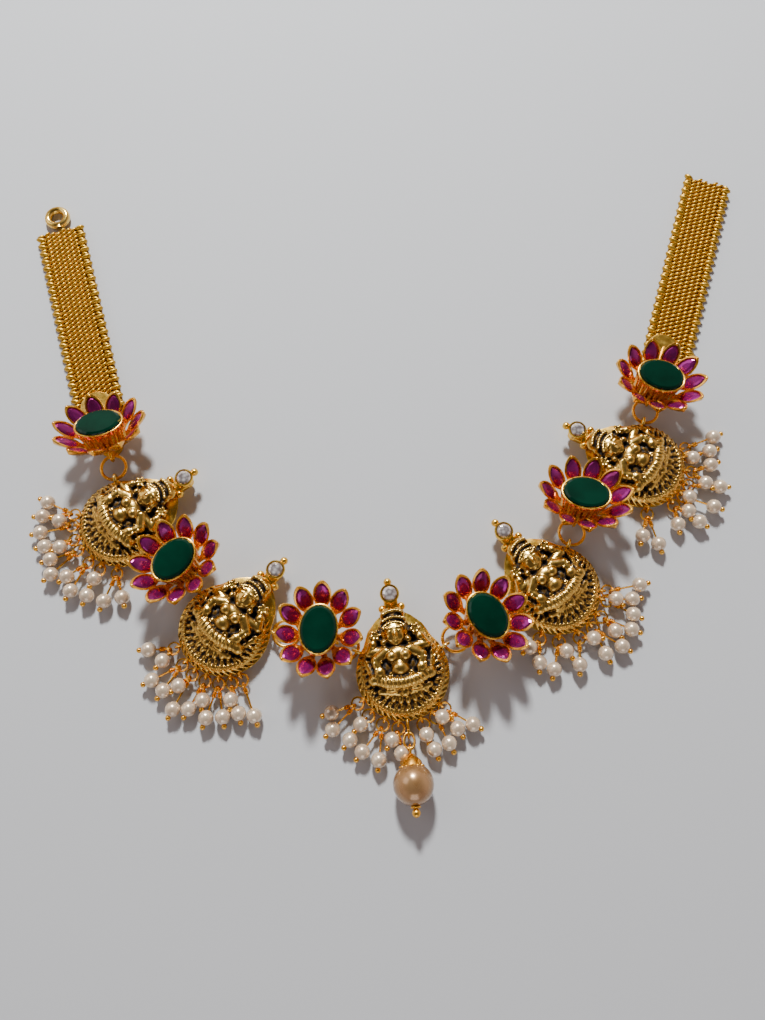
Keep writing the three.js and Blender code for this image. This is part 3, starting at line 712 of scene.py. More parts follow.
def build_emerald(name):
    spot = FLOWERS[name]
    length, width = EMERALD_LENGTH / 2 + STONE_SPREAD, EMERALD_WIDTH / 2 + STONE_SPREAD
    stone = turned_form([
        (length * 0.3, width * 0.3, -1.6),
        (length * 0.7, width * 0.7, -0.8),
        (length, width, 0.0),
        (length * 0.94, width * 0.94, 0.5),
        (length * EMERALD_TABLE, width * EMERALD_TABLE, 0.75),
    ], 22)
    coated(stone, EMERALD)
    place = moved(spot["x"], spot["y"], WAIST_HEIGHT) @ lean_matrix(spot) @ moved(0, 0, TOWER_HEIGHT)
    return finished(stone, name.replace("flower", "emerald") + "_step_cut", place,
                    [name.replace("flower", "emerald")])


# Pendants

FIGURE_BALLS = table(("part", "at", "size"), [
    ("dome", (0, 0, 1.6), (7.8, 7.8, 3.0)),
    ("belly", (-0.4, 0.8, 4.7), (1.95, 1.75, 1.65)),
    ("waist", (-0.4, 1.9, 4.5), (1.7, 1.1, 1.45)),
    ("chest", (-0.4, 3.5, 4.5), (2.9, 1.9, 1.55)),
    ("breast left", (-1.7, 3.2, 5.3), (1.25, 1.2, 1.15)),
    ("breast right", (0.95, 3.1, 5.3), (1.25, 1.2, 1.15)),
    ("shoulder left", (-3.0, 4.2, 4.5), (1.2, 1.1, 1.2)),
    ("shoulder right", (2.4, 4.1, 4.5), (1.2, 1.1, 1.2)),
    ("neck", (-0.4, 5.2, 4.6), (1.05, 1.0, 1.0)),
    ("head", (-0.4, 7.6, 4.6), (2.3, 2.8, 1.8)),
    ("nose", (-0.4, 7.2, 6.3), (0.36, 0.8, 0.45)),
    ("mouth", (-0.4, 6.1, 6.05), (0.62, 0.24, 0.3)),
    ("chin", (-0.4, 5.5, 5.4), (0.8, 0.5, 0.65)),
    ("cheek left", (-1.4, 6.8, 5.75), (0.7, 0.85, 0.4)),
    ("cheek right", (0.6, 6.8, 5.75), (0.7, 0.85, 0.4)),
    ("eye left", (-1.35, 7.85, 6.05), (0.62, 0.24, 0.3)),
    ("eye right", (0.55, 7.85, 6.05), (0.62, 0.24, 0.3)),
    ("brow left", (-1.35, 8.55, 6.05), (0.8, 0.2, 0.32)),
    ("brow right", (0.55, 8.55, 6.05), (0.8, 0.2, 0.32)),
    ("ear left", (-2.6, 7.4, 4.5), (0.45, 1.1, 0.8)),
    ("ear right", (1.8, 7.4, 4.5), (0.45, 1.1, 0.8)),
    ("earring left", (-2.8, 6.0, 4.8), (0.75, 0.75, 0.75)),
    ("earring right", (2.0, 6.0, 4.8), (0.75, 0.75, 0.75)),
    ("hand left", (-4.4, 0.6, 5.2), (1.15, 1.1, 0.85)),
    ("hand right", (3.7, 0.4, 5.2), (1.15, 1.1, 0.85)),
    ("raised hand left", (-4.9, 6.0, 4.4), (0.95, 1.0, 0.9)),
    ("raised hand right", (4.4, 6.2, 4.4), (0.95, 1.0, 0.9)),
    ("lotus left", (-4.2, 7.5, 4.0), (0.95, 1.1, 0.95)),
    ("lotus right", (3.7, 7.7, 4.0), (0.95, 1.1, 0.95)),
    ("knee left", (-5.7, -0.6, 4.3), (1.35, 1.25, 1.3)),
    ("knee right", (5.1, -0.8, 4.3), (1.35, 1.25, 1.3)),
    ("foot", (1.9, -3.1, 4.8), (1.3, 0.6, 0.6)),
    ("other foot", (-2.5, -3.0, 4.8), (1.3, 0.6, 0.6)),
    ("skirt end", (-0.3, -3.6, 4.6), (1.0, 1.1, 0.8)),
    ("crown", (-0.2, 11.2, 3.9), (2.5, 1.6, 1.35)),
    ("crown back", (-0.3, 10.0, 3.9), (2.7, 1.3, 1.5)),
    ("garment left", (-2.9, 1.3, 4.2), (1.0, 1.6, 0.9)),
    ("garment right", (2.1, 1.2, 4.2), (1.0, 1.6, 0.9)),
])

FIGURE_LIMBS = table(("part", "from", "to", "radius", "end"), [
    ("thigh left", (-6.0, -0.4, 4.3), (-3.2, -1.5, 4.8), 1.0, 1.35),
    ("shin left", (-3.2, -1.5, 4.8), (-0.3, -2.0, 5.0), 1.35, 1.3),
    ("shin right", (-0.3, -2.0, 5.0), (2.6, -1.6, 4.8), 1.3, 1.35),
    ("thigh right", (2.6, -1.6, 4.8), (5.4, -0.6, 4.3), 1.35, 1.0),
    ("back leg left", (-4.7, -2.9, 3.9), (-0.4, -3.9, 4.1), 0.9, 0.75),
    ("back leg right", (-0.4, -3.9, 4.1), (4.5, -3.0, 3.9), 0.75, 0.9),
    ("upper arm left", (-2.8, 4.1, 4.6), (-4.9, 2.9, 4.6), 1.35, 1.05),
    ("forearm left", (-4.9, 2.9, 4.7), (-4.5, 0.9, 5.0), 1.05, 0.85),
    ("upper arm right", (2.2, 4.0, 4.6), (4.2, 2.7, 4.6), 1.35, 1.05),
    ("forearm right", (4.2, 2.7, 4.7), (3.8, 0.7, 5.0), 1.05, 0.85),
    ("raised arm left", (-3.2, 4.5, 4.2), (-5.8, 4.5, 4.1), 1.2, 0.95),
    ("raised forearm left", (-5.8, 4.5, 4.1), (-5.0, 6.1, 4.3), 0.95, 0.7),
    ("raised arm right", (2.6, 4.4, 4.2), (5.3, 4.6, 4.1), 1.2, 0.95),
    ("raised forearm right", (5.3, 4.6, 4.1), (4.5, 6.3, 4.3), 0.95, 0.7),
    ("sash", (-2.4, 0.0, 5.0), (1.7, -0.2, 5.0), 0.5, 0.5),
    ("sash end left", (-6.1, 0.9, 3.9), (-6.7, 3.0, 3.6), 0.8, 0.5),
    ("sash end right", (5.6, 0.6, 3.9), (6.3, 3.0, 3.6), 0.8, 0.5),
    ("hair left", (-2.9, 9.1, 4.2), (-3.3, 7.0, 4.0), 0.5, 0.5),
    ("hair right", (2.1, 9.1, 4.2), (2.5, 7.0, 4.0), 0.5, 0.5),
])

BEAD_ARCS = table(("part", "centre", "radius", "height", "first", "last", "beads", "size"), [
    ("necklace", (-0.4, 5.1), 1.9, 5.6, 200, 340, 9, (0.32, 0.32, 0.32)),
    ("long necklace", (-0.4, 4.3), 2.8, 5.3, 225, 315, 9, (0.3, 0.3, 0.3)),
    ("headband", (-0.4, 6.7), 2.9, 5.7, 45, 135, 9, (0.4, 0.34, 0.36)),
    ("crown beads low", (-0.3, 6.6), 4.0, 5.5, 60, 120, 8, (0.5, 0.26, 0.36)),
    ("crown beads high", (-0.2, 7.9), 4.0, 5.3, 64, 116, 7, (0.5, 0.3, 0.4)),
    ("rope", (0, 0), 7.5, 3.3, 142, 398, 42, (0.68, 0.36, 0.42)),
    ("belt", (-0.4, 2.3), 2.4, 5.5, 232, 308, 8, (0.3, 0.3, 0.3)),
    ("lotus petals left", (-4.2, 7.6), 0.8, 4.6, 0, 300, 6, (0.62, 0.38, 0.5)),
    ("lotus petals right", (3.7, 7.8), 0.8, 4.6, 0, 300, 6, (0.62, 0.38, 0.5)),
    ("fingers left", (-4.5, 0.9), 1.3, 5.5, 230, 310, 4, (0.5, 0.24, 0.36)),
    ("fingers right", (3.8, 0.7), 1.3, 5.5, 230, 310, 4, (0.5, 0.24, 0.36)),
    ("leaves left", (0, 0), 6.7, 3.7, 145, 200, 7, (0.9, 0.42, 0.6)),
    ("leaves right", (0, 0), 6.7, 3.7, -20, 35, 7, (0.9, 0.42, 0.6)),
    ("inner leaves left", (-0.5, 0), 5.3, 4.0, 148, 178, 4, (0.8, 0.4, 0.6)),
    ("inner leaves right", (-0.3, 0), 5.3, 4.0, 2, 32, 4, (0.8, 0.4, 0.6)),
    ("armlet left", (-4.6, 1.9), 0.9, 5.6, 150, 390, 4, (0.26, 0.26, 0.3)),
    ("armlet right", (4.0, 1.7), 0.9, 5.6, 150, 390, 4, (0.26, 0.26, 0.3)),
])
BEAD_SLANT = 28

LOTUS_ROWS = table(("radius", "height", "first", "last", "petals", "size"), [
    (5.0, 3.6, 212, 328, 9, (1.25, 0.74, 1.0)),
    (6.4, 3.0, 205, 335, 13, (0.95, 0.64, 0.8)),
])

LEAVES = 32
LEAF_FIRST = 140
LEAF_LAST = 400
LEAF_SLANT = 13
LEAF_ROOT_RING = 7.7
LEAF_TIP_RING = 9.1
RIM_ROLL_RADIUS = 7.75
RIM_ROLL_WIRE = 0.5
PLEATED_LIMBS = 4
LEG_PLEATS = 4
PLEAT_WIRE = 0.14
PLEAT_SLANT = 12
RELIEF_VOXEL = 0.14
RELIEF_UNDERSIDE = 1.5
RECESS_REACH = 2.4
RECESS_RAYS = 22


def spaced(first, last, count):
    return [first + (last - first) * i / (count - 1) for i in range(count)]


def pleats_of(row):
    """The raised folds of cloth across one part of a leg"""
    start, end = Vector(row["from"]), Vector(row["to"])
    bearing = math.degrees(math.atan2(end.y - start.y, end.x - start.x))
    turn = (0, 90, bearing + PLEAT_SLANT)
    folds = []
    for step in spaced(0.08, 0.92, LEG_PLEATS):
        thick = row["radius"] + (row["end"] - row["radius"]) * step
        at = start.lerp(end, step)
        folds.append(hoop(thick + 0.02, PLEAT_WIRE, at=at, turn=turn, segments=20, sides=6))
    return folds


def figure_pieces():
    """The raised forms of the cast plate: the seated goddess, her lotus, the rope and the leaves"""
    pieces = [ball(form["at"], form["size"], segments=24, rings=14) for form in FIGURE_BALLS]
    pieces += [limb(form["from"], form["to"], form["radius"], form["end"]) for form in FIGURE_LIMBS]
    for arc in BEAD_ARCS:
        for angle in spaced(arc["first"], arc["last"], arc["beads"]):
            spot = on_circle(arc["radius"], angle)
            at = (arc["centre"][0] + spot.x, arc["centre"][1] + spot.y, arc["height"])
            pieces.append(ball(at, arc["size"], turn=(0, 0, angle + BEAD_SLANT), segments=8, rings=6))
    for row in LOTUS_ROWS:
        for angle in spaced(row["first"], row["last"], row["petals"]):
            spot = on_circle(row["radius"], angle)
            at = (spot.x, spot.y, row["height"])
            pieces.append(ball(at, row["size"], turn=(0, 0, angle), segments=12, rings=8))
    for angle in spaced(LEAF_FIRST, LEAF_LAST, LEAVES):
        inner = on_circle(LEAF_ROOT_RING, angle)
        outer = on_circle(LEAF_TIP_RING, angle + LEAF_SLANT)
        leaf = rod((inner.x, inner.y, 2.8), (outer.x, outer.y, 1.95), 0.5, sides=6, end_radius=0.18)
        pieces.append(leaf)
    for row in FIGURE_LIMBS[:PLEATED_LIMBS]:
        pieces += pleats_of(row)
    pieces.append(hoop(RIM_ROLL_RADIUS, RIM_ROLL_WIRE, at=(0, 0, 2.7), segments=64, sides=8))
    return pieces


def shade_recesses(piece, reach, rays):
    """Stores how hemmed in each point of a surface is, as the recess attribute"""
    mesh = piece.data
    tree = BVHTree.FromObject(piece, bpy.context.evaluated_depsgraph_get())
    spin = math.pi * (3 - math.sqrt(5))
    fan = []
    for i in range(rays):
        height = 0.25 + 0.75 * (i + 0.5) / rays
        flat = math.sqrt(1 - height * height)
        fan.append(Vector((flat * math.cos(i * spin), flat * math.sin(i * spin), height)))
    recess = mesh.attributes.new("recess", "FLOAT", "POINT")
    values = []
    for vertex in mesh.vertices:
        turn = vertex.normal.to_track_quat("Z", "X")
        start = vertex.co + vertex.normal * 0.05
        hidden = 0.0
        for ray in fan:
            distance = tree.ray_cast(start, turn @ ray, reach)[3]
            if distance is not None:
                hidden += 1 - 0.6 * distance / reach
        values.append(hidden / rays)
    recess.data.foreach_set("value", values)
    return piece


def build_relief():
    """The cast relief as one skin over its forms, cut flat underneath"""
    skin = joined(figure_pieces(), "relief")
    take(skin)
    remesh = skin.modifiers.new("one skin", "REMESH")
    remesh.mode = "VOXEL"
    remesh.voxel_size = RELIEF_VOXEL
    bpy.ops.object.modifier_apply(modifier=remesh.name)
    even = skin.modifiers.new("worn casting", "SMOOTH")
    even.factor = 0.5
    even.iterations = 2
    bpy.ops.object.modifier_apply(modifier=even.name)
    bpy.ops.object.mode_set(mode="EDIT")
    bpy.ops.mesh.select_all(action="SELECT")
    bpy.ops.mesh.bisect(plane_co=(0, 0, RELIEF_UNDERSIDE), plane_no=(0, 0, 1), use_fill=True,
                        clear_inner=True)
    bpy.ops.mesh.select_all(action="SELECT")
    bpy.ops.mesh.normals_make_consistent(inside=False)
    bpy.ops.object.mode_set(mode="OBJECT")
    bpy.ops.object.shade_smooth()
    shade_recesses(skin, RECESS_REACH, RECESS_RAYS)
    return coated(skin, ANTIQUE_GOLD)


PLATE_SIDES = 96
ARCH_HALF_ANGLE = 48
ARCH = [(0.0, 0.0, 12.4), (0.2, 1.7, 12.1), (0.45, 3.6, 10.9), (0.72, 5.6, 8.9), (1.0, 6.84, 6.16)]


def arch_outline(corner):
    """Raises the top of a round plate to the arch behind the head"""
    angle = math.degrees(math.atan2(corner.x, corner.y))
    if abs(angle) >= ARCH_HALF_ANGLE:
        return corner * PLATE_RADIUS
    share = abs(angle) / ARCH_HALF_ANGLE
    for (low, low_x, low_y), (high, high_x, high_y) in zip(ARCH, ARCH[1:]):
        if share <= high:
            part = (share - low) / (high - low)
            x, y = low_x + (high_x - low_x) * part, low_y + (high_y - low_y) * part
            return Vector((math.copysign(x, angle), y, corner.z))
    return corner * PLATE_RADIUS


def build_plate():
    rows = [(1, 1, PLATE_LOW), (1, 1, PLATE_LOW + PLATE_THICKNESS)]
    plate = turned_form(rows, PLATE_SIDES, outline=arch_outline)
    bevelled(plate, 0.14)
    smooth(plate, 40)
    return coated(plate, SATIN_GOLD)


def build_spire():
    """The cup of the diamond on its neck, with a ball on each side and one on top"""
    cup = round_form([
        (1.3, PLATE_LOW),
        (1.15, PLATE_LOW + 0.5),
        (1.35, PLATE_LOW + 1.6),
        (BEZEL_RADIUS - 0.1, BEZEL_TOP - 0.5),
        (BEZEL_RADIUS, BEZEL_TOP - 0.25),
        (BEZEL_RADIUS - 0.12, BEZEL_TOP + 0.02),
        (DIAMOND_RADIUS + 0.12, BEZEL_TOP + 0.02),
        (DIAMOND_RADIUS, BEZEL_TOP - 0.4),
    ], 32, at=(0, SPIRE_Y, 0))
    side = BEZEL_RADIUS * 0.98
    low = SPIRE_Y - BEZEL_RADIUS * 1.35
    raised = PLATE_LOW + SPIRE_BALL * 2
    top = (0, SPIRE_Y + BEZEL_RADIUS + SPIRE_BALL * 0.6, BEZEL_TOP - SPIRE_BALL)
    spots = [(-side, low, raised), (side, low, raised), top]
    balls = [ball(at, (SPIRE_BALL,) * 3, segments=20, rings=12) for at in spots]
    neck = bevelled(block((0, SPIRE_Y - 2.2, PLATE_LOW + 0.8), (2.8, 4.4, 1.6)), 0.35, 3)
    spire = joined([cup, neck, *balls], "spire")
    smooth(spire, 40)
    return coated(spire, SATIN_GOLD)


def build_pendant_model():
    rims = []
    for angle in spaced(150, 390, EYELETS):
        spot = on_circle(EYELET_RING, angle)
        at = (spot.x, spot.y, PLATE_LOW + PLATE_THICKNESS)
        rims.append(hoop(EYELET_RADIUS, EYELET_WIRE, at=at, segments=12, sides=5))
    eyelets = coated(smooth(joined(rims, "eyelets"), 60), POLISHED_GOLD)
    return joined([build_relief(), build_plate(), build_spire(), eyelets], "pendant model")


def build_pendant(name, model):
    spot = PENDANTS[name]
    centre = Vector((spot["x"], spot["y"]))
    upright = copies(model, [turned_by(spot["turn"] - 90)], keep=True)[0]
    lugs = []
    for link in [link for link in LINKS if link["pendant"] == name]:
        at_pendant, _, bearing = link_ends(link)
        lugs.append(build_lug(at_pendant - centre, bearing))
    ring = coated(smooth(joined(lugs, "lugs"), 60), POLISHED_GOLD)
    whole = joined([upright, ring], name)
    return finished(whole, name + "_cast_goddess", moved(spot["x"], spot["y"]), [name])


def build_diamond(name):
    spot = PENDANTS[name]
    radius = DIAMOND_RADIUS
    rows = [(radius * 0.25, -0.7), (radius, 0.0), (radius * 0.84, 0.28), (radius * 0.6, 0.42)]
    stone = round_form(rows, 16)
    coated(stone, DIAMOND)
    at = on_circle(SPIRE_Y, spot["turn"])
    place = moved(spot["x"] + at.x, spot["y"] + at.y, BEZEL_TOP) @ turned_by(spot["turn"])
    return finished(stone, name.replace("pendant", "diamond") + "_round_cut", place,
                    [name.replace("pendant", "diamond")])


def build_link(link):
    at_pendant, at_flower, _ = link_ends(link)
    middle = (at_pendant + at_flower) / 2
    name = f"link_{link['pendant'][-1]}_to_{link['flower']}"
    ring = hoop(link["radius"], LINK_WIRE, segments=48, sides=12)
    coated(smooth(apply_place(ring), 60), BRIGHT_GOLD)
    return finished(ring, name + "_wire_ring", moved(middle.x, middle.y, LINK_HEIGHT), [name])


# Each pearl of a fringe by its direction in degrees and its distance from the pendant's centre. They
# hang two by two from the jump rings in the plate's rim.
FRINGES = table(("tag", "pendant", "pearls"), [
    ("1", "pendant_1", [
        (165, 16.8), (175, 17.0), (178, 13.4), (187, 17.1), (198, 16.4), (202, 13.7), (209, 16.3),
        (217, 17.4), (227, 15.4), (236, 17.0), (248, 16.3), (247, 12.7), (261, 16.4), (274, 15.5)]),
    ("2", "pendant_2", [
        (195, 15.4), (207, 13.4), (216, 16.9), (226, 16.3), (232, 13.9), (241, 17.5), (247, 16.4),
        (254, 14.5), (261, 17.2), (272, 16.8), (279, 14.1), (284, 16.4), (290, 17.5)]),
    ("3_left", "pendant_3", [
        (209, 15.9), (218, 17.3), (230, 12.8), (231, 16.3), (242, 16.8), (254, 17.0), (261, 13.0),
        (268, 14.9)]),
    ("3_right", "pendant_3", [
        (291, 12.6), (293, 15.5), (303, 15.9), (312, 11.3), (315, 14.9), (324, 16.6)]),
    ("4", "pendant_4", [
        (244, 12.9), (255, 15.1), (266, 15.9), (277, 12.4), (285, 15.5), (306, 12.1), (306, 15.8),
        (318, 17.0), (324, 14.2), (333, 16.7), (341, 16.2), (352, 15.6), (351, 12.3), (363, 17.2)]),
    ("5", "pendant_5", [
        (266, 15.2), (277, 17.0), (297, 14.3), (312, 16.3), (313, 13.3), (328, 16.9), (323, 11.8),
        (344, 16.7), (344, 13.8), (361, 14.7), (369, 11.2), (372, 15.1), (382, 17.2)]),
])


def lie_clear(spots):
    """Moves pearls that would run into each other apart, a little at a time"""
    apart = 2 * PEARL_RADIUS + PEARL_CLEARANCE
    for _ in range(CLEARING_ROUNDS):
        for i, first in enumerate(spots):
            for second in spots[i + 1:]:
                between = second - first
                if between.length < apart:
                    shift = between.normalized() * (apart - between.length) / 2
                    first -= shift
                    second += shift
    return spots


def build_pin(start, pearl):
    """A pearl's pin: its eye, the turns of wire, the shank and the ball outside the pearl"""
    along = (pearl - start).normalized()
    bearing = bearing_of(along)
    pieces = [hoop(PIN_EYE, PIN_WIRE, at=start, turn=(90, 0, bearing), segments=12, sides=5)]
    for i in range(PIN_TURNS):
        at = start + along * (TURNS_FROM + TURN_PITCH * i)
        pieces.append(hoop(TURN_RADIUS, PIN_WIRE, at=at, turn=(0, 90, bearing), segments=10, sides=4))
    pieces.append(rod(start + along * 0.5, pearl, PIN_WIRE, sides=6))
    outside = pearl + Vector((along.x, along.y, 0)).normalized() * (PEARL_RADIUS + 0.3)
    pieces.append(ball(outside, (PIN_BALL,) * 3, segments=12, rings=8))
    return pieces


def build_fringe(fringe):
    name = "pearl_fringe_" + fringe["tag"]
    spot = PENDANTS[fringe["pendant"]]
    spots = lie_clear([on_circle(distance, direction) for direction, distance in fringe["pearls"]])
    spots = [Vector((at.x, at.y, PEARL_RADIUS)) for at in spots]
    pearls = [ball(at, (PEARL_RADIUS,) * 3, segments=24, rings=14) for at in spots]
    wires = []
    middle = sum((direction for direction, _ in fringe["pearls"]), 0.0) / len(spots)
    for i in range(0, len(spots), 2):
        pair = spots[i:i + 2]
        heart = sum(pair, Vector()) / len(pair)
        direction = bearing_of(heart) % 360
        direction += 360 * round((middle - direction) / 360)
        rim = on_circle(EYELET_RING, direction)
        outward = Vector((rim.x, rim.y, 0)).normalized()
        first = rim + outward * HANGER_OUT + Vector((0, 0, HANGER_HEIGHT))
        second = rim + outward * (RING_OUT + RING_RADIUS) + Vector((0, 0, RING_HEIGHT))
        hanger_turn, ring_turn = (90, 0, direction), (8, 6, direction)
        wires.append(hoop(HANGER_RADIUS, PIN_WIRE, at=first, turn=hanger_turn, segments=14, sides=5))
        wires.append(hoop(RING_RADIUS, PIN_WIRE, at=second, turn=ring_turn, segments=18, sides=5))
        for pearl in pair:
            start = second + (pearl - second).normalized() * (RING_RADIUS - 0.1)
            wires += build_pin(start, pearl)
    strung = coated(smooth(joined(pearls, "pearls"), 60), SEED_PEARL)
    wired = coated(smooth(joined(wires, "pins"), 60), BRIGHT_GOLD)
    whole = joined([strung, wired], name)
    return finished(whole, name + "_on_pins", moved(spot["x"], spot["y"]), [name])


# Main drop

def build_drop_link(name, half_length, lie, place):
    """One of the two oval wire links over the champagne pearl"""
    loop = hoop(LOOP_HALF_HEIGHT, LOOP_WIRE, size=(half_length / LOOP_HALF_HEIGHT, 1, 1),
                segments=32, sides=10)
    apply_place(loop)
    loop.matrix_world = lie
    coated(smooth(apply_place(loop), 60), BRIGHT_GOLD)
    return finished(loop, name + "_wire", place, [name])


def build_drop_pin(eye_x):
    """The pin through the champagne pearl: eye, beaded cap, shank, collar and end ball"""
    radius = DROP_PEARL_RADIUS
    foot = radius + GAP
    cap = round_form([
        (CAP_RADIUS, radius * 0.78),
        (CAP_RADIUS * 0.86, radius + 0.25),
        (CAP_TOP, foot + CAP_HEIGHT),
    ], 28)
    cap.matrix_world = turned_by(-90, "Y")
    pieces = [
        apply_place(cap),
        hoop(LUG_RADIUS, LOOP_WIRE, at=(eye_x, 0, 0), turn=(90, 0, 0), segments=24, sides=8),
        rod((-foot - CAP_HEIGHT, 0, 0), (-foot, 0, 0), 0.45, sides=12),
        ball((foot + END_BALL, 0, 0), (END_BALL * 0.94,) * 3, segments=24, rings=14),
        rod((radius - 0.3, 0, 0), (foot + 0.2, 0, 0), 0.3, sides=12),
        hoop(0.75, 0.22, at=(radius + 0.15, 0, 0), turn=(0, 90, 0), segments=24, sides=8),
    ]
    for degrees in range(0, 360, 360 // CAP_BEADS):
        angle = math.radians(degrees)
        spoke = Vector((0, math.cos(angle), math.sin(angle)))
        at = spoke * (CAP_RADIUS - 0.05) + Vector((-radius * 0.8, 0, 0))
        pieces.append(ball(at, (CAP_BEAD,) * 3, segments=10, rings=6))
    return coated(smooth(joined(pieces, "pin"), 50), BRIGHT_GOLD)


def build_drop():
    """The big pearl on its pin, and the two links it hangs by"""
    spot = PENDANTS["pendant_3"]
    place = moved(spot["x"], spot["y"]) @ turned_by(DROP_DIRECTION)
    height = PLATE_LOW + PLATE_THICKNESS / 2
    interlock = 2 * LOOP_WIRE + GAP
    upper_lie = moved(HOLE_RING + DROP_UPPER, 0, height) @ turned_by(90, "X")
    build_drop_link("drop_link_upper", DROP_UPPER, upper_lie, place)
    lower_start = HOLE_RING + 2 * DROP_UPPER - interlock
    lower_lie = moved(lower_start, 0, height) @ turned_by(-DROP_LOWER_SLOPE, "Y") @ moved(DROP_LOWER, 0)
    build_drop_link("drop_link_lower", DROP_LOWER, lower_lie, place)
    lower_end = lower_start + 2 * DROP_LOWER * math.cos(math.radians(DROP_LOWER_SLOPE))

    radius = DROP_PEARL_RADIUS
    eye_x = -(radius + GAP + CAP_HEIGHT + LUG_RADIUS - LOOP_WIRE)
    pearl_x = lower_end - interlock + LUG_RADIUS - eye_x * math.cos(math.radians(DROP_PIN_SLOPE))
    tipped = place @ moved(pearl_x, 0, radius) @ turned_by(-DROP_PIN_SLOPE, "Y")
    pearl = ball((0, 0, 0), (radius,) * 3, turn=(0, 90, 0), segments=56, rings=32)
    coated(smooth(apply_place(pearl), 60), DROP_PEARL)
    finished(pearl, "drop_pearl_champagne", tipped, ["drop_pearl"])
    finished(build_drop_pin(eye_x), "drop_pin_and_cap", tipped, ["drop_pin"])


# Bands

EDGE_PITCH = 2.0
INNER_PITCH = 1.05
BACK_INSET = 1.2
BACK_SHORT = 0.9
BACK_THICKNESS = 0.9
BAND_GRAINS = table(("across", "size", "slope", "height", "pitch", "shift"), [
    (-4.55, (1.2, 0.56, 0.66), -24, 1.26, EDGE_PITCH, 0.0),
    (-4.5, (0.95, 0.46, 0.5), 16, 1.1, EDGE_PITCH, 0.5),
    (-3.05, (0.86, 0.36, 0.5), 38, 0.98, INNER_PITCH, 0.2),
    (-1.82, (0.82, 0.36, 0.5), 36, 0.98, INNER_PITCH, 0.9),
    (-0.6, (0.82, 0.36, 0.5), 36, 0.98, INNER_PITCH, 0.6),
    (0.6, (0.82, 0.36, 0.5), 36, 0.98, INNER_PITCH, 0.3),
    (1.82, (0.82, 0.36, 0.5), 36, 0.98, INNER_PITCH, 0.0),
    (3.05, (0.86, 0.36, 0.5), 34, 0.98, INNER_PITCH, 0.7),
    (4.5, (1.2, 0.52, 0.66), 10, 1.26, EDGE_PITCH, 0.4),
    (4.45, (0.9, 0.46, 0.5), -30, 1.1, EDGE_PITCH, 0.9),
])


def build_band(name):
    """A woven band: its raised strands lie in slanted rows over a dark back, coloured as painted shade for
    the gaps between them
    """
    start, end, along, _ = band_line(name)
    length = (end - start).length
    pieces = []
    for grain in BAND_GRAINS:
        half_width, pitch = grain["size"][1], grain["pitch"]
        model = ball((0, 0, 0), grain["size"], turn=(0, 0, grain["slope"]), segments=10, rings=6)
        apply_place(model)
        first = half_width + 0.1 + grain["shift"] * pitch
        count = int((length - first - half_width) / pitch) + 1
        places = [moved(grain["across"], first + pitch * i, grain["height"]) for i in range(count)]
        pieces += copies(model, places)
    weave = coated(smooth(joined(pieces, "weave"), 60), WOVEN_GOLD)
    # The back's dark colour is painted shade seen through the gaps in the weave.
    back_size = (BAND_WIDTH - BACK_INSET, length - BACK_SHORT, BACK_THICKNESS)
    back = coated(bevelled(block((0, length / 2, 0.5), back_size), 0.25), SHADE_PAINTED_GOLD)
    whole = joined([weave, back], name)
    place = moved(start.x, start.y) @ turned_by(bearing_of(along) - 90)
    return finished(whole, name + "_weave", place, [name])


def build_eye():
    """The polished ring past the free end of the left band"""
    _, end, along, _ = band_line("band_left")
    centre = GAP + EYE_SHANK + EYE_RADIUS
    ring = hoop(EYE_RADIUS, EYE_WIRE, at=(centre, 0, EYE_WIRE), segments=48, sides=20)
    shank = rod((GAP, 0, EYE_WIRE), (centre - EYE_RADIUS, 0, EYE_WIRE), EYE_WIRE * 0.95, sides=20)
    whole = coated(smooth(joined([ring, shank], "eye"), 50), POLISHED_GOLD)
    place = moved(end.x, end.y) @ turned_by(bearing_of(along))
    return finished(whole, "clasp_eye_ring", place, ["clasp_eye"])


# Table, light and camera

VIEW_DISTANCE = 156.0
VIEW_TILT = 15
VIEW_HALF_HEIGHT = 510.0
VIEW_FOCAL = 742.0

TABLE_SIZE = 2.4
TABLE_DROP = 0.0002

LIGHTS = table(("name", "at", "size", "power", "colour"), [
    ("lamp", (-0.06, 0.55, 0.5), 0.09, 11.6, (0.94, 0.98, 1.0)),
    ("room", (-0.7, 0.3, 0.6), 0.5, 1.2, (0.97, 0.97, 1.0)),
    ("viewer side", (0.05, -0.75, 0.3), 0.45, 1.1, (0.9, 0.93, 1.0)),
])


def build_table():
    deselect()
    bpy.ops.mesh.primitive_grid_add(x_subdivisions=2, y_subdivisions=2, size=TABLE_SIZE,
                                    location=(0, 0, -TABLE_DROP))
    top = bpy.context.object
    top.name = "table"
    material, _, _, shader = new_material("pale table")
    fill(shader, {"Base Color": (0.505, 0.505, 0.51, 1), "Roughness": 0.75})
    coated(top, material)


def add_area(row, towards):
    light = bpy.data.lights.new(row["name"], "AREA")
    light.energy = row["power"]
    light.size = row["size"]
    light.color = row["colour"]
    lamp = bpy.data.objects.new(row["name"], light)
    lamp.location = row["at"]
    aim = Vector(towards) - Vector(row["at"])
    lamp.rotation_euler = aim.to_track_quat("-Z", "Y").to_euler()
    bpy.context.collection.objects.link(lamp)
    return lamp


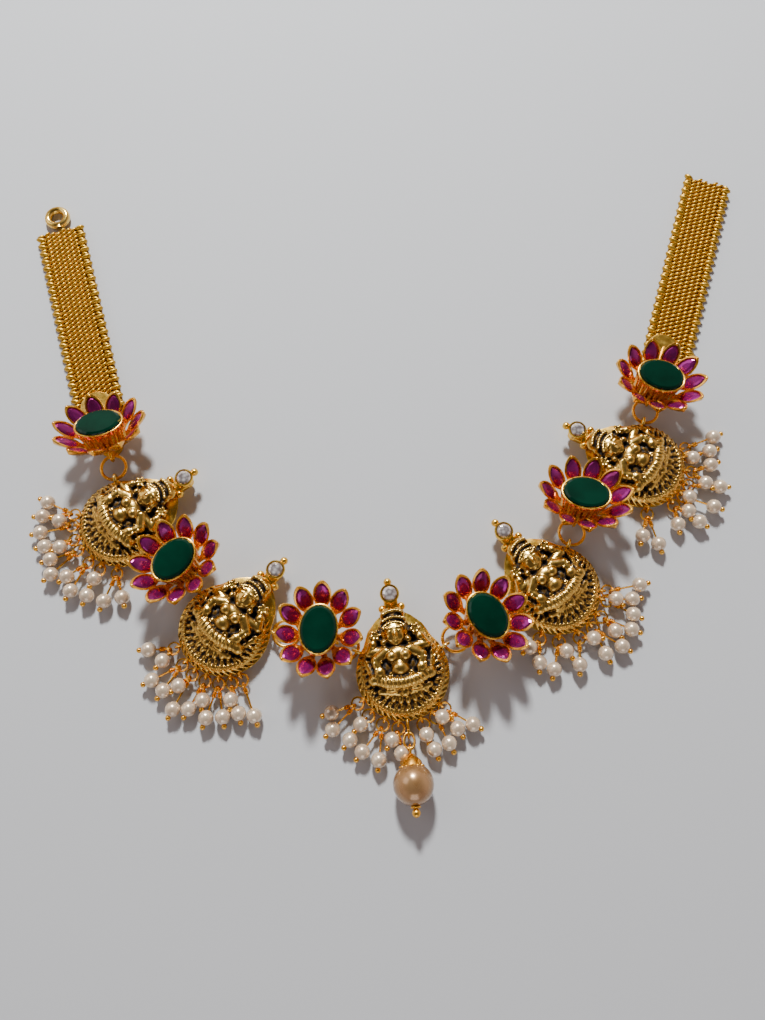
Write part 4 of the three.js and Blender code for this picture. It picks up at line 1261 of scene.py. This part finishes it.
def build_room():
    """A soft room: brighter at the window side, dark overhead"""
    world = bpy.data.worlds.new("soft room")
    bpy.context.scene.world = world
    world.use_nodes = True
    nodes, wires = world.node_tree.nodes, world.node_tree.links
    sky = nodes["Background"]
    sky.inputs["Color"].default_value = (1.0, 0.82, 0.8, 1)
    place = nodes.new("ShaderNodeTexCoord")
    axes = nodes.new("ShaderNodeSeparateXYZ")
    wires.new(place.outputs["Generated"], axes.inputs["Vector"])
    overhead = spread(nodes, wires, axes.outputs["Z"], 0.3, 0.85, 1.0, 0.14)
    window_side = spread(nodes, wires, axes.outputs["Y"], -1.0, 1.0, 0.5, 0.75)
    strength = nodes.new("ShaderNodeMath")
    strength.operation = "MULTIPLY"
    wires.new(overhead, strength.inputs[0])
    wires.new(window_side, strength.inputs[1])
    wires.new(strength.outputs["Value"], sky.inputs["Strength"])


def place_camera(middle):
    camera = bpy.data.cameras.new("camera")
    camera.sensor_fit = "VERTICAL"
    camera.angle = 2 * math.atan(VIEW_HALF_HEIGHT / VIEW_FOCAL)
    camera.clip_start = 0.01
    viewer = bpy.data.objects.new("camera", camera)
    tilt = math.radians(VIEW_TILT)
    away = Vector((0, -VIEW_DISTANCE * math.sin(tilt), VIEW_DISTANCE * math.cos(tilt)))
    viewer.location = away * MM + middle
    viewer.rotation_euler = (tilt, 0, 0)
    bpy.context.collection.objects.link(viewer)
    bpy.context.scene.camera = viewer


def light_and_camera():
    middle = Vector((-ORIGIN_X * MM, -ORIGIN_Y * MM, 0))
    build_room()
    for row in LIGHTS:
        add_area(row, middle)
    place_camera(middle)


for flower_name in FLOWERS:
    build_flower(flower_name)
    build_emerald(flower_name)
pendant_model = build_pendant_model()
for pendant_name in PENDANTS:
    build_pendant(pendant_name, pendant_model)
    build_diamond(pendant_name)
bpy.data.objects.remove(pendant_model)
for one_link in LINKS:
    build_link(one_link)
for one_fringe in FRINGES:
    build_fringe(one_fringe)
build_drop()
for band_name in BANDS:
    build_band(band_name)
build_eye()
build_table()
light_and_camera()
